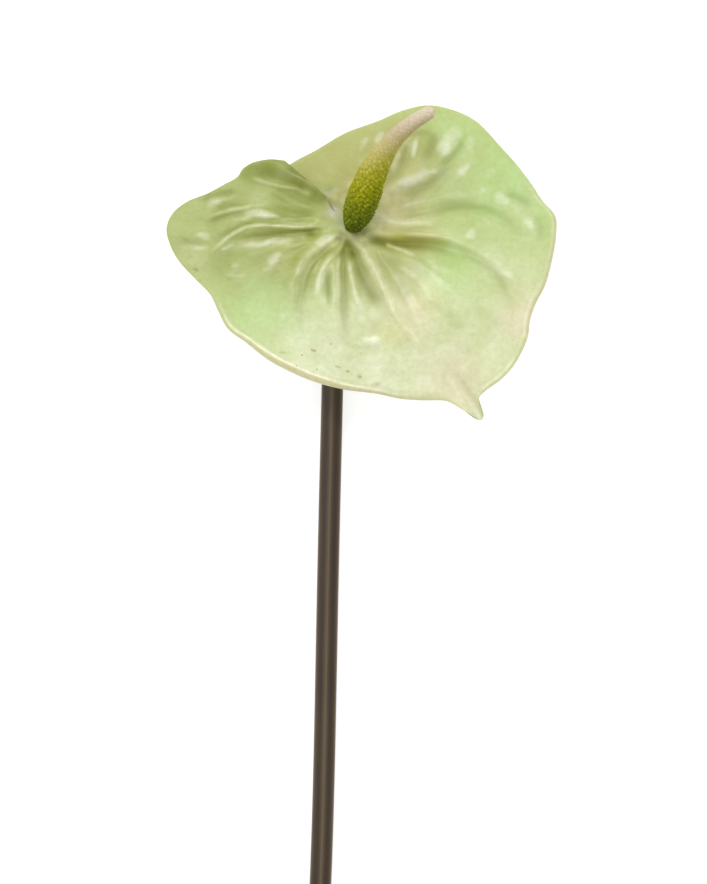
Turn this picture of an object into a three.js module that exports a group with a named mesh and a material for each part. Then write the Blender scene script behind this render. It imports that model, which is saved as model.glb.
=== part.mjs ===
// An anthurium cut flower lying on its back on a flat surface, in millimetres with +Z up.
// It has three pieces: the ribbed stem, the heart-shaped spathe (the coloured leaf) and the
// spadix (the finger of tiny flowers) that stands on the spathe's foot.
// The stem lies along -Y and lifts at its neck to carry the spathe, whose two upper lobes
// reach down to the surface. Most measures below are taken from the foot of the spadix.
import * as THREE from "three";

const { clamp, degToRad, euclideanModulo, lerp, radToDeg, smoothstep } = THREE.MathUtils;

// Place of the foot of the spadix in the part's frame, whose origin is the middle of the
// space that the flower covers on the surface.
const foot = new THREE.Vector3(-1, 149.2, 16);

// Driving dimensions of the stem.
const stemRadius = 3.4; // over a rib, along the straight stretch
const stemAxisHeight = 3.12; // a little under the radius, so the stem rests on a narrow flat
const stemEndRadius = 3.6; // at the cut end
const endTaper = 0.35; // share of the resting stretch over which the cut end's width is lost
const neckRadius = 3.9; // where the stem widens below the spathe
const neckWidening = 0.55; // share of the neck from which it widens
const bowPower = 1.25; // how early the resting stretch runs sideways
const stemRibs = 6;
const ribDepth = 0.32;
const stemSides = 24;
const stemEnd = new THREE.Vector2(-19.2, -336); // cut end, from the foot
const neckStart = new THREE.Vector2(-7.6, -38); // where the neck starts to lift
const stemLean = 0.0234; // sideways run of the stem's axis for each millimetre along it
const stemBow = 3.2; // how far the resting stretch bows sideways
const stemStretches = 14; // sections along the resting stretch
const neckStretches = 14;
const neckRestingSections = 3; // sections of the neck that still touch the surface
const neckElevation = degToRad(47); // the stem's direction where it meets the spathe
const neckAzimuth = degToRad(70);
const neckPull = { start: 19, end: 13 }; // how long the neck keeps each end's direction
const slantSections = 4; // sections over which the neck turns to the spathe's slant

// Driving dimensions of the spathe.
const footSlope = new THREE.Vector2(0.08, -0.25); // fall of the flat foot along x and y
const footDisc = 5.4; // radius of the flat foot that carries the spadix
const footBlend = 6.5; // width of the band where the flat foot turns into the blade
const steadyReach = 15.4; // within this radius the thickness turns towards the foot's direction
const veinStart = 3; // beyond the foot, the folds reach their full height over this radius
const bladeThickness = 0.9;
const footThickness = 1.8;
const thinningBand = { start: 6, end: 17 }; // radii over which the foot thins to the blade
const bladeArch = 3.0; // how far the blade bulges above a straight line from foot to margin
const evening = 1.8; // spread, in margin points, of the evened margin that leads the inner blade
const evenWithin = 0.7; // share of the reach within which the evened margin leads alone
const evenFrom = { start: 0.04, full: 0.16 }; // shares of the margin beside the left corner
const evenTo = { start: 0.86, end: 0.97 }; // and beside the right corner, where it sets in
const rimWidth = 3.2; // the band that rolls over at the margin
const foldEnd = 0.5; // this near to the margin the folds have faded out
const rimRoll = 0.8; // how far the margin rolls down all round
const strongerRolls = [
  { height: 1.7, towards: -105, reach: 55 }, // along the lower margin, in degrees
  { height: 1.3, towards: -10, reach: 35 }, // along the right margin
];
const tipTurn = -57.8; // where the pointed tip lies, in degrees
const tipReach = 9; // the rim is nearly flat this far to each side of the tip
const tipFlatness = 0.9; // the share of the roll that is gone at the tip
// Where the thickness is laid straight down: round the tip and round the left lobe's flap.
const steadyTurns = [
  { towards: tipTurn, reach: 14 },
  { towards: 147, reach: 16 },
];
const pieceGap = 0.3; // clearance between neighbouring pieces

// Driving dimensions of the sinus, the split between the two lobes. The spathe is a whole
// ring up to ringRadius. Further radii are counted outwards from the ring, and shares of the
// margin run from 0 at the left lobe's corner to 1 at the right lobe's corner.
const ringRadius = 7.8;
const splitRise = 2.4; // the lobes part in height over this much radius
const leftShare = 0.3; // how much the left lobe's height counts where the two lobes join
const leftSeamEnd = 0.1; // share of the margin up to which the left lobe is led to the join
const rightSeamStart = 0.86; // share of the margin from which the right lobe is
const lobeOverlap = degToRad(21.3); // how far the left lobe lies over the right one
const swingStart = 0.72; // share of the margin from which the right lobe swings under the left
const overlapFade = { start: 2.8, end: 13 }; // radii over which it swings back
const sinusGap = degToRad(2.6); // the narrow split where the sinus starts
const gapFade = { open: 0.9, shut: 2.6, end: 6 }; // radii where the split opens and shuts
const sinusTwist = degToRad(12); // how far the split swings round towards the left there
const twistReach = 6;

// Driving dimensions of the spadix.
const spadixSides = 40;
const spadixStretches = 56;
const floretsRound = 10;
const floretRows = 14;
const floretHeight = 0.26;
const spadixBase = new THREE.Vector2(-1.0, 0.2); // the base's middle, from the foot's middle
const spadixSlantPart = 0.16; // the share of its length over which its slanting base evens out
const baseRounding = { narrowing: 0.16, part: 0.07 }; // the base draws in over this share
const floretStart = 0.03; // the share of its length over which the florets set in
const smoothing = { start: 0.35, end: 0.7, left: 0.3 }; // where the florets flatten, and to what
const tipClosing = 0.15; // the tip's middle stands out this far beyond its last ring

// The spathe's margin as x, y from the foot and height above the surface, from the left
// lobe's corner at the sinus, round by the tip, to the right lobe's corner under it.
const marginPoints = [
  [-22.9, 19.8, 14.5],
  [-27.3, 20.2, 14.0],
  [-32.7, 19.3, 11.6],
  [-36.0, 17.4, 9.2],
  [-37.8, 14.9, 7.6],
  [-42.0, 12.6, 6.0],
  [-47.2, 9.9, 4.0],
  [-53.6, 7.4, 2.0],
  [-58.2, 3.7, 0.8],
  [-60.1, -1.0, 0.60],
  [-58.8, -6.5, 1.5],
  [-55.8, -11.7, 3.8],
  [-50.7, -17.2, 6.2],
  [-46.2, -21.9, 8.6],
  [-43.8, -26.8, 10.6],
  [-40.7, -32.6, 12.8],
  [-35.2, -36.8, 15.0],
  [-27.9, -42.5, 17.8],
  [-21.0, -46.2, 19.8],
  [-13.6, -49.3, 21.4],
  [-4.4, -51.7, 22.8],
  [6.1, -53.1, 24.4],
  [13.1, -54.6, 25.4],
  [20.3, -55.1, 26.2],
  [27.7, -55.4, 26.8],
  [33.4, -58.6, 26.8],
  [38.5, -61.1, 25.6],
  [37.4, -54.7, 27.2],
  [39.4, -52.3, 27.4],
  [44.4, -48.6, 26.8],
  [48.6, -43.9, 25.6],
  [52.7, -35.6, 23.2],
  [53.5, -30.1, 21.6],
  [55.3, -25.0, 20.0],
  [58.3, -19.2, 17.6],
  [60.5, -11.5, 14.6],
  [61.9, -3.5, 11.6],
  [61.7, 2.7, 9.4],
  [57.7, 7.5, 8.6],
  [54.7, 12.2, 7.4],
  [50.3, 18.2, 5.8],
  [44.7, 24.6, 4.2],
  [37.2, 32.5, 2.4],
  [30.7, 35.9, 1.1],
  [22.3, 37.7, 0.53],
  [14.2, 36.1, 1.1],
  [6.3, 32.7, 2.5],
  [-4.0, 28.8, 4.2],
  [-13.1, 23.4, 6.2],
  [-20.6, 19.3, 7.6],
  [-25.7, 15.2, 8.2],
  [-26.6, 9.4, 9.0],
];
const columnsPerStretch = 2;
const bladeRings = 13; // between the whole ring and the rolled rim
const rimSteps = 3;

// The main veins lie in valleys that leave the foot in all directions. depth is how far a
// valley sinks, width its half width, shoulder the height of the crests beside it, and route
// its course from the foot outwards.
const valleys = [
  {
    depth: 1.5,
    width: 2.0,
    shoulder: 0.5,
    route: [[-12.0, -2.0], [-18.9, -2.7], [-31.9, -4.2], [-40.9, -8.1], [-46.9, -13.5]],
  },
  {
    depth: 0.5,
    width: 2.0,
    shoulder: 0.3,
    route: [[-14.9, 2.2], [-23.9, 1.2], [-36.9, 1.9], [-46.9, -0.1]],
  },
  {
    depth: 0.7,
    width: 1.7,
    shoulder: 0.2,
    route: [[-15.5, 10.5], [-22.4, 13.2], [-28.5, 15.0], [-34.9, 16.6]],
  },
  {
    depth: 2.0,
    width: 2.2,
    shoulder: 0.6,
    route: [[6.4, -4.6], [13.1, -5.6], [27.1, -7.2], [38.7, -11.2], [46.8, -21.2], [48.6, -29.5]],
  },
  {
    depth: 1.0,
    width: 2.6,
    shoulder: 0.3,
    route: [[6.5, 2.2], [16.9, 3.4], [32.5, 5.9], [45.9, 2.2], [51.6, -4.5]],
  },
  {
    depth: 0.9,
    width: 2.6,
    shoulder: 0.4,
    route: [[5.0, 5.2], [13.1, 9.7], [25.0, 13.1], [32.8, 23.1]],
  },
  {
    depth: 0.9,
    width: 2.4,
    shoulder: 0.4,
    route: [[3.1, 7.0], [11.1, 16.5], [18.1, 24.5], [21.1, 31.5]],
  },
  {
    depth: 1.2,
    width: 1.8,
    shoulder: 0.4,
    route: [[-6.1, -5.4], [-15.5, -14.0], [-17.4, -24.8], [-15.5, -33.5]],
  },
  {
    depth: 1.3,
    width: 1.5,
    shoulder: 0.4,
    route: [[-3.4, -6.3], [-4.6, -10.8], [-4.2, -27.4], [-2.3, -39.5]],
  },
  {
    depth: 1.1,
    width: 2.1,
    shoulder: 0.2,
    route: [[-1.6, -7.5], [1.0, -13.8], [5.6, -23.1], [9.6, -30.5]],
  },
  {
    depth: 0.6,
    width: 2.4,
    shoulder: 0.2,
    route: [[5.1, -8.5], [12.9, -17.0], [21.1, -26.8], [29.6, -40.5]],
  },
];

// Narrow crests between the valleys. Their depth is below 0, since they stand up.
const crests = [
  {
    depth: -0.60,
    width: 1.0,
    shoulder: 0,
    route: [[-9.0, -0.7], [-18.1, -1.2], [-31.8, -0.3], [-40.5, -3.1], [-45.5, -8.1]],
  },
  {
    depth: -0.60,
    width: 1.6,
    shoulder: 0,
    route: [[7.0, 8.6], [10.0, 11.7], [19.8, 16.9], [26.0, 18.6]],
  },
  {
    depth: -0.75,
    width: 1.2,
    shoulder: 0,
    route: [[-4.6, -3.2], [-10.8, -5.2], [-18.6, -13.7], [-20.0, -19.0], [-17.1, -32.0]],
  },
  {
    depth: -0.80,
    width: 1.2,
    shoulder: 0,
    route: [[-2.6, -4.8], [1.9, -9.0], [8.6, -21.7], [16.1, -34.3], [20.9, -41.8]],
  },
];

// How every fold runs: the share of its course from which it fades out, its width as shares
// of the width given, and where its shoulders stand, in half widths from its middle.
const foldFadeStart = 0.35;
const foldWidening = { start: 0.6, end: 1.5 };
const shoulderPlace = 2.1;

// The spadix: the places its axis passes, from the foot, and its radius along it.
const spadixRoute = [
  [1.1, 6.3, 8.5],
  [5.2, 16.3, 19.5],
  [10.9, 24.9, 29],
  [17.5, 30.4, 36],
  [23.1, 33.5, 40.5],
];
const spadixRadii = [3.7, 4.8, 5.0, 4.5, 3.85, 3.2, 2.7, 2.3, 1.95];

const upwards = new THREE.Vector3(0, 0, 1);
// Square to the spathe's flat foot, towards the spadix.
const footNormal = new THREE.Vector3(-footSlope.x, -footSlope.y, 1).normalize();

// A value read smoothly from a list of values spread evenly over 0 to 1.
function alongList(values, t) {
  const place = clamp(t, 0, 1) * (values.length - 1);
  const index = Math.min(Math.floor(place), values.length - 2);
  const part = place - index;
  return lerp(values[index], values[index + 1], part * part * (3 - 2 * part));
}

// A smooth hump of height 1 round a middle angle, in degrees, and 0 past its reach.
function angleHump(angle, middle, reach) {
  const turn = euclideanModulo(angle - middle + 180, 360) - 180;
  return 1 - smoothstep(Math.abs(turn), 0, reach);
}

function meshGeometry(vertices, triangles) {
  const geometry = new THREE.BufferGeometry();
  geometry.setFromPoints(vertices);
  geometry.setIndex(triangles.flat());
  geometry.computeVertexNormals();
  return geometry;
}

// The valleys and crests with each route as closely spaced places.
const folds = [...valleys, ...crests].map((fold) => {
  const places = fold.route.map(([x, y]) => new THREE.Vector3(x, y, 0));
  return { ...fold, course: new THREE.CatmullRomCurve3(places).getPoints(40) };
});

// Height of one fold at a place: a sunken or raised line with a soft shoulder on each side,
// which widens and fades out along its course.
function foldRelief({ depth, width, shoulder, course }, x, y) {
  let nearest = Infinity;
  let along = 0;
  course.forEach((place, index) => {
    const distance = Math.hypot(place.x - x, place.y - y);
    if (distance < nearest) {
      nearest = distance;
      along = index / (course.length - 1);
    }
  });
  const fade = 1 - smoothstep(along, foldFadeStart, 1);
  const wide = width * lerp(foldWidening.start, foldWidening.end, along);
  const line = Math.exp(-((nearest / wide) ** 2));
  const shoulders = Math.exp(-(((nearest - shoulderPlace * wide) / wide) ** 2));
  return fade * (shoulder * shoulders - depth * line);
}

// The spathe's margin at every column: its radius and turn from the foot, and its height.
function marginEdges(columns) {
  const margin = new THREE.CatmullRomCurve3(
    marginPoints.map(([x, y, z]) => new THREE.Vector3(x, y, z)),
  );
  const edges = [];
  for (let column = 0; column <= columns; column += 1) {
    const place = margin.getPoint(column / columns);
    let turn = Math.atan2(place.y, place.x);
    while (column > 0 && turn < edges[column - 1].turn - 0.5) {
      turn += 2 * Math.PI;
    }
    edges.push({ radius: Math.hypot(place.x, place.y), turn, height: place.z });
  }
  return edges;
}

// A measure of the margin at one column, evened out over the columns near it, but as it is
// beside the sinus.
function evened(edges, column, measure) {
  const u = column / (edges.length - 1);
  const spread = evening * columnsPerStretch;
  const weights = edges.map((_, index) => Math.exp(-0.5 * ((index - column) / spread) ** 2));
  const total = weights.reduce((sum, weight) => sum + weight, 0);
  const even = edges.reduce((sum, edge, index) => sum + weights[index] * edge[measure], 0) / total;
  const fromSinus =
    smoothstep(u, evenFrom.start, evenFrom.full) * (1 - smoothstep(u, evenTo.start, evenTo.end));
  return lerp(edges[column][measure], even, fromSinus);
}

// The blade's height at a radius on one column, before its two edges are brought together.
function openHeight(edge, radius) {
  const degrees = radToDeg(edge.turn);
  const fullRoll = strongerRolls.reduce(
    (sum, { height, towards, reach }) => sum + height * angleHump(degrees, towards, reach),
    rimRoll,
  );
  const roll = fullRoll * (1 - tipFlatness * angleHump(degrees, tipTurn, tipReach));
  const outer = smoothstep(radius / edge.radius, evenWithin, 1);
  const part = radius / lerp(edge.evenRadius, edge.radius, outer);
  const height = lerp(edge.evenHeight, edge.height, outer);
  const fromMargin = Math.min(edge.radius - radius, rimWidth) / rimWidth;
  const rolled = Math.sqrt(Math.max(0, 1 - (1 - fromMargin) ** 2));
  const chord = lerp(foot.z, height + roll, part);
  const arch = 16 * bladeArch * (part * (1 - part)) ** 2;
  return chord + arch - roll * (1 - rolled);
}

// The blade's front face on one column at a radius from the foot, before its folds.
function bladePlace(edges, column, radius) {
  const edge = edges[column];
  const firstEdge = edges[0];
  const lastEdge = edges[edges.length - 1];
  const u = column / (edges.length - 1);
  const beyond = radius - ringRadius;
  const closing = smoothstep(u, swingStart, 1);
  const opened = smoothstep(beyond, overlapFade.start, overlapFade.end);
  const split =
    smoothstep(beyond, 0, gapFade.open) * (1 - smoothstep(beyond, gapFade.shut, gapFade.end));
  const twist = sinusTwist * (1 - smoothstep(beyond, 0, twistReach));
  const turn = edge.turn + twist - closing * (lobeOverlap * (1 - opened) + sinusGap * split);
  const x = radius * Math.cos(turn);
  const y = radius * Math.sin(turn);

  const first = openHeight(firstEdge, Math.min(radius, firstEdge.radius));
  const last = openHeight(lastEdge, Math.min(radius, lastEdge.radius));
  const joined = 1 - smoothstep(beyond, 0, splitRise);
  const towardsFirst = 1 - smoothstep(u, 0, leftSeamEnd);
  const towardsLast = smoothstep(u, rightSeamStart, 1);
  const middle = lerp(last, first, leftShare);
  const seam = joined * (towardsFirst * (middle - first) + towardsLast * (middle - last));
  const blade = openHeight(edge, radius) + seam;

  const flat = foot.z + footSlope.x * x + footSlope.y * y;
  const height = lerp(flat, blade, smoothstep(radius, footDisc, footDisc + footBlend));
  return new THREE.Vector3(x, y, height);
}

// How far the folds raise or sink the blade at a place; the foot and the rim stay smooth.
function bladeRelief(place, edge, radius) {
  const fade =
    smoothstep(radius, footDisc, footDisc + veinStart) *
    smoothstep(edge.radius - radius, foldEnd, 2 * rimWidth);
  return folds.reduce((sum, fold) => sum + fade * foldRelief(fold, place.x, place.y), 0);
}

// The spathe: a sheet of columns that fan out from the foot, closed into a ring near the
// foot and split at the sinus beyond it, given its thickness on the back.
function makeSpathe() {
  const columns = (marginPoints.length - 1) * columnsPerStretch;
  const innerRadii = [3, footDisc, ringRadius];
  const ringCount = innerRadii.length + bladeRings + rimSteps;
  const splitRing = innerRadii.length - 1;
  const plainEdges = marginEdges(columns);
  const edges = plainEdges.map((edge, column) => ({
    ...edge,
    evenRadius: evened(plainEdges, column, "radius"),
    evenHeight: evened(plainEdges, column, "height"),
  }));

  const plain = [new THREE.Vector3(0, 0, foot.z)];
  const relief = [0];
  const indexOf = [];
  for (let ring = 0; ring < ringCount; ring += 1) {
    indexOf.push([]);
    const columnCount = ring <= splitRing ? columns : columns + 1;
    for (let column = 0; column < columnCount; column += 1) {
      const edge = edges[column];
      const bandStart = edge.radius - rimWidth;
      let radius = innerRadii[ring];
      if (ring > splitRing + bladeRings) {
        const step = ring - splitRing - bladeRings;
        radius = edge.radius - rimWidth * (1 - Math.sin((step / rimSteps) * Math.PI / 2));
      } else if (ring > splitRing) {
        const part = (ring - splitRing) / bladeRings;
        radius = lerp(ringRadius, bandStart, part ** 1.15);
      }
      const place = bladePlace(edges, column, radius);
      indexOf[ring].push(plain.length);
      plain.push(place);
      relief.push(bladeRelief(place, edge, radius));
    }
    if (ring <= splitRing) {
      indexOf[ring].push(indexOf[ring][0]);
    }
  }

  const faces = [];
  for (let column = 0; column < columns; column += 1) {
    faces.push([0, indexOf[0][column], indexOf[0][column + 1]]);
  }
  for (let ring = 0; ring < ringCount - 1; ring += 1) {
    for (let column = 0; column < columns; column += 1) {
      const a = indexOf[ring][column];
      const b = indexOf[ring + 1][column];
      const c = indexOf[ring + 1][column + 1];
      const d = indexOf[ring][column + 1];
      faces.push([a, b, c], [a, c, d]);
    }
  }

  // The folds bend front and back alike, so the thickness is laid along the plain sheet's
  // normals, which never cross each other under a sharp crest.
  const normals = meshGeometry(plain, faces).getAttribute("normal");
  const front = plain.map(({ x, y, z }, index) => new THREE.Vector3(x, y, z + relief[index]));
  const back = front.map((place, index) => {
    const normal = new THREE.Vector3().fromBufferAttribute(normals, index);
    const radius = Math.hypot(place.x, place.y);
    const thinning = smoothstep(radius, thinningBand.start, thinningBand.end);
    const thickness = lerp(footThickness, bladeThickness, thinning);
    const degrees = radToDeg(Math.atan2(place.y, place.x));
    steadyTurns.forEach(({ towards, reach }) => {
      normal.lerp(upwards, angleHump(degrees, towards, reach)).normalize();
    });
    normal.lerp(footNormal, 1 - smoothstep(radius, footDisc, steadyReach)).normalize();
    return place.clone().addScaledVector(normal, -thickness);
  });

  const offset = front.length;
  const backFaces = faces.map(([a, b, c]) => [a + offset, c + offset, b + offset]);
  const rim = [];
  for (let ring = splitRing; ring < ringCount - 1; ring += 1) {
    rim.push(indexOf[ring][0]);
  }
  rim.push(...indexOf[ringCount - 1]);
  for (let ring = ringCount - 2; ring > splitRing; ring -= 1) {
    rim.push(indexOf[ring][columns]);
  }
  const rimFaces = rim.flatMap((a, index) => {
    const b = rim[(index + 1) % rim.length];
    return [
      [b, a, a + offset],
      [b, a + offset, b + offset],
    ];
  });
  return meshGeometry([...front, ...back], [...faces, ...backFaces, ...rimFaces]);
}

// A closed rod through rings of places, each ring turning anticlockwise about the rod's
// direction, with a middle place at each end.
function rodGeometry(rings, startMiddle, endMiddle) {
  const sides = rings[0].length;
  const vertices = [startMiddle, endMiddle, ...rings.flat()];
  const faces = [];
  const at = (ring, side) => 2 + ring * sides + (side % sides);
  const last = rings.length - 1;
  for (let side = 0; side < sides; side += 1) {
    faces.push([0, at(0, side + 1), at(0, side)]);
    faces.push([1, at(last, side), at(last, side + 1)]);
    for (let ring = 0; ring < last; ring += 1) {
      const a = at(ring, side);
      const b = at(ring, side + 1);
      const c = at(ring + 1, side + 1);
      const d = at(ring + 1, side);
      faces.push([a, b, c], [a, c, d]);
    }
  }
  return meshGeometry(vertices, faces);
}

// Sideways and upward directions square to a rod's direction.
function crossDirections(direction) {
  const sideways = upwards.clone().cross(direction).normalize();
  const upward = direction.clone().cross(sideways);
  return { sideways, upward };
}

// How far a rod's corner has to slide along the rod to lie on the slanting end that is
// parallel to the spathe's foot. out is the corner's place from the rod's axis.
function slantOf(out, direction) {
  return -out.dot(footNormal) / direction.dot(footNormal);
}

// The stem: a ribbed rod that rests on a narrow flat, bows a little sideways, and lifts
// at the neck to meet the spathe's back squarely.
function makeStem() {
  const top = new THREE.Vector3(0, 0, foot.z).addScaledVector(
    footNormal,
    -(footThickness + pieceGap),
  );
  const lift = new THREE.Vector3(
    Math.cos(neckElevation) * Math.cos(neckAzimuth),
    Math.cos(neckElevation) * Math.sin(neckAzimuth),
    Math.sin(neckElevation),
  );
  const start = new THREE.Vector3(neckStart.x, neckStart.y, stemAxisHeight);
  const along = new THREE.Vector3(stemLean, 1, 0).normalize();
  const neck = new THREE.CubicBezierCurve3(
    start,
    start.clone().addScaledVector(along, neckPull.start),
    top.clone().addScaledVector(lift, -neckPull.end),
    top,
  );

  const stations = [];
  for (let index = 0; index < stemStretches; index += 1) {
    const part = index / stemStretches;
    const bend = stemBow * Math.sin(part * Math.PI) ** 2 * (1 - part);
    const place = new THREE.Vector3(
      lerp(stemEnd.x, neckStart.x, 1 - (1 - part) ** bowPower) + bend,
      lerp(stemEnd.y, neckStart.y, part),
      stemAxisHeight,
    );
    const radius = lerp(stemEndRadius, stemRadius, smoothstep(part, 0, endTaper));
    stations.push({ place, direction: along, radius, resting: true });
  }
  for (let index = 0; index <= neckStretches; index += 1) {
    const part = index / neckStretches;
    const radius = lerp(stemRadius, neckRadius, smoothstep(part, neckWidening, 1));
    const place = neck.getPoint(part);
    const direction = neck.getTangent(part);
    stations.push({ place, direction, radius, resting: index <= neckRestingSections });
  }

  const rings = stations.map(({ place, direction, radius, resting }, station) => {
    const sectionsLeft = stations.length - 1 - station;
    const slantPart = 1 - smoothstep(sectionsLeft, 0, slantSections);
    const { sideways, upward } = crossDirections(direction);
    const ring = [];
    for (let side = 0; side < stemSides; side += 1) {
      const angle = (2 * Math.PI * side) / stemSides;
      const groove = 0.5 - 0.5 * Math.cos(stemRibs * (angle + Math.PI / 2));
      const ribbed = radius - ribDepth * groove;
      const out = sideways
        .clone()
        .multiplyScalar(ribbed * Math.cos(angle))
        .addScaledVector(upward, ribbed * Math.sin(angle));
      const slant = slantPart * slantOf(out, direction);
      const corner = place.clone().add(out).addScaledVector(direction, slant);
      if (resting) {
        corner.z = Math.max(corner.z, 0);
      }
      ring.push(corner);
    }
    return ring;
  });
  return rodGeometry(rings, stations[0].place, top);
}

// The spadix: a tapering finger that curves to the right, covered in rows of florets.
function makeSpadix() {
  const baseHeight = foot.z + footSlope.dot(spadixBase);
  const base = new THREE.Vector3(spadixBase.x, spadixBase.y, baseHeight);
  base.addScaledVector(footNormal, pieceGap);
  const places = spadixRoute.map(([x, y, z]) => new THREE.Vector3(x, y, foot.z + z));
  const axis = new THREE.CatmullRomCurve3([base, ...places]);
  const length = axis.getLength();
  const tipRadius = spadixRadii[spadixRadii.length - 1];
  const rings = [];
  for (let index = 0; index < spadixStretches; index += 1) {
    const part = index / (spadixStretches - 1);
    const place = axis.getPointAt(part);
    const direction = axis.getTangentAt(part);
    const { sideways, upward } = crossDirections(direction);
    const toTip = (1 - part) * length;
    const round = Math.sqrt(Math.max(0.02, 1 - (1 - Math.min(toTip / tipRadius, 1)) ** 2));
    const drawnIn = baseRounding.narrowing * (1 - smoothstep(part, 0, baseRounding.part));
    const radius = alongList(spadixRadii, part) * (1 - drawnIn) * round;
    const flattened = lerp(1, smoothing.left, smoothstep(part, smoothing.start, smoothing.end));
    const floretFade = smoothstep(part, 0, floretStart) * flattened * round;
    const slantPart = 1 - smoothstep(part, 0, spadixSlantPart);
    const ring = [];
    for (let side = 0; side < spadixSides; side += 1) {
      const angle = (2 * Math.PI * side) / spadixSides;
      const pattern = Math.cos(floretsRound * angle) * Math.cos(2 * Math.PI * floretRows * part);
      const reach = radius + floretHeight * floretFade * pattern;
      const out = sideways
        .clone()
        .multiplyScalar(reach * Math.cos(angle))
        .addScaledVector(upward, reach * Math.sin(angle));
      const slant = slantPart * slantOf(out, direction);
      ring.push(place.clone().add(out).addScaledVector(direction, slant));
    }
    rings.push(ring);
  }
  const end = axis.getPointAt(1).addScaledVector(axis.getTangentAt(1), tipClosing);
  return rodGeometry(rings, base, end);
}

function makePiece(name, geometry, color, roughness) {
  const material = new THREE.MeshStandardMaterial({ color, roughness, metalness: 0 });
  const piece = new THREE.Mesh(geometry, material);
  piece.name = name;
  return piece;
}

const flower = new THREE.Group();
flower.position.set(foot.x, foot.y, 0);
flower.add(makePiece("stem", makeStem(), 0x56493e, 0.6));
flower.add(makePiece("spathe", makeSpathe(), 0xc6d79c, 0.35));
flower.add(makePiece("spadix", makeSpadix(), 0xa4a04a, 0.65));

const anthurium = new THREE.Group();
anthurium.add(flower);

export default anthurium;
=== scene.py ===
# %% [markdown]
# # An anthurium cut flower
# The flower lies on its back on a pale table and the camera looks straight down on it.
# It has three pieces: a ribbed stem, a spathe (the heart-shaped coloured leaf) and a
# spadix (the finger that is covered in tiny flowers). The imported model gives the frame:
# every piece below is made at its place in that frame, in metres.

import bmesh
import bpy
import numpy as np
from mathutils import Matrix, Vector


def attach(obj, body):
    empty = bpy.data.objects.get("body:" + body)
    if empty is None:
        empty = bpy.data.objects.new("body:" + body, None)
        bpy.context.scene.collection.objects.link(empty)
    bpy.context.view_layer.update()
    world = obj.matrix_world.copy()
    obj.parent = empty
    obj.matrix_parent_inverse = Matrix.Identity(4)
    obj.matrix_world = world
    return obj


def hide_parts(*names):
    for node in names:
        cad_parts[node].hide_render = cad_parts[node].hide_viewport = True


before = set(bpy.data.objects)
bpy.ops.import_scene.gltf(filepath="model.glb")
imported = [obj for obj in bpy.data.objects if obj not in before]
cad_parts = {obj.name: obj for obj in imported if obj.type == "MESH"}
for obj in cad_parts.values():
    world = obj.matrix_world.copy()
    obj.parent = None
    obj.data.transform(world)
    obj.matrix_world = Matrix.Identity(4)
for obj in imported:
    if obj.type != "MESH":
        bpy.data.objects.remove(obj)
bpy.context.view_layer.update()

# %% [markdown]
# ## Measures
# The shapes are worked out in millimetres from the foot of the spadix, which is where
# all the veins of the spathe meet, and turned into metres at the very end. A few small
# helpers do the smooth blends that living forms need.

# %% Units and blends
MM = 0.001
FOOT = np.array([-1.0, 149.2, 16.0])
FOOT_PLAN = FOOT * (1, 1, 0)  # the place on the table below the foot
FOOT_SLOPE = np.array([0.08, -0.25])
FOOT_NORMAL = np.array([*-FOOT_SLOPE, 1.0]) / np.linalg.norm([*FOOT_SLOPE, 1.0])
PIECE_GAP = 0.3


def lerp(start, end, part):
    return start + (end - start) * part


def smoothstep(value, low, high):
    part = np.clip((value - low) / (high - low), 0, 1)
    return part * part * (3 - 2 * part)


def angle_hump(angle, middle, reach):
    """1 at the middle angle and smoothly 0 past its reach, in degrees."""
    turn = np.mod(angle - middle + 180, 360) - 180
    return 1 - smoothstep(np.abs(turn), 0, reach)


print("foot of the spadix at", FOOT, "mm")


# %% A smooth course through places
def smooth_course(places, parts):
    """Places at the given parts, 0 to 1, of a smooth curve that passes all of places."""
    places = np.asarray(places, float)
    padded = np.vstack([2 * places[0] - places[1], places, 2 * places[-1] - places[-2]])
    spot = np.asarray(parts, float) * (len(places) - 1)
    index = np.minimum(spot.astype(int), len(places) - 2)
    weight = (spot - index)[:, None]
    before, start, end, after = (padded[index + shift] for shift in range(4))
    first = np.linalg.norm(start - before, axis=1, keepdims=True) ** 0.5
    middle = np.linalg.norm(end - start, axis=1, keepdims=True) ** 0.5
    last = np.linalg.norm(after - end, axis=1, keepdims=True) ** 0.5
    leave = (start - before) / first - (end - before) / (first + middle) + (end - start) / middle
    arrive = (end - start) / middle - (after - start) / (middle + last) + (after - end) / last
    leave, arrive = leave * middle, arrive * middle
    square = -3 * start + 3 * end - 2 * leave - arrive
    cube = 2 * start - 2 * end + leave + arrive
    return start + leave * weight + square * weight**2 + cube * weight**3


print("halfway round a corner:", smooth_course([(0, 0), (1, 0), (1, 1)], [0.5]))

# %% [markdown]
# ## Camera
# The flower was photographed upright, from far away. Lying on its back, that is a camera
# high above it that looks straight down. A long lens keeps the near spadix from looking
# larger than it should.

# %% Camera
CAMERA_ABOVE_FOOT = 2.2
VIEW_MIDDLE = np.array([-2.4, 81.2]) * MM
VIEW_HEIGHT = 0.2755  # how much of the flower's length the frame shows, at the foot's height
SENSOR = 36.0

camera_data = bpy.data.cameras.new("camera")
camera_data.sensor_width = SENSOR
camera_data.lens = SENSOR * CAMERA_ABOVE_FOOT / VIEW_HEIGHT
camera_data.clip_end = 20
camera = bpy.data.objects.new("camera", camera_data)
camera.location = (*VIEW_MIDDLE, FOOT[2] * MM + CAMERA_ABOVE_FOOT)
bpy.context.collection.objects.link(camera)
bpy.context.scene.camera = camera
print("lens", round(camera_data.lens, 1), "mm")

# %% [markdown]
# ## Tools for the modelling
# Every piece starts from one of Blender's own shapes, whose corners are then laid at their
# places. Operators act on whatever is selected, so each step starts from nothing selected.
# A finished piece keeps its object at the origin with its place in its mesh.

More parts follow.
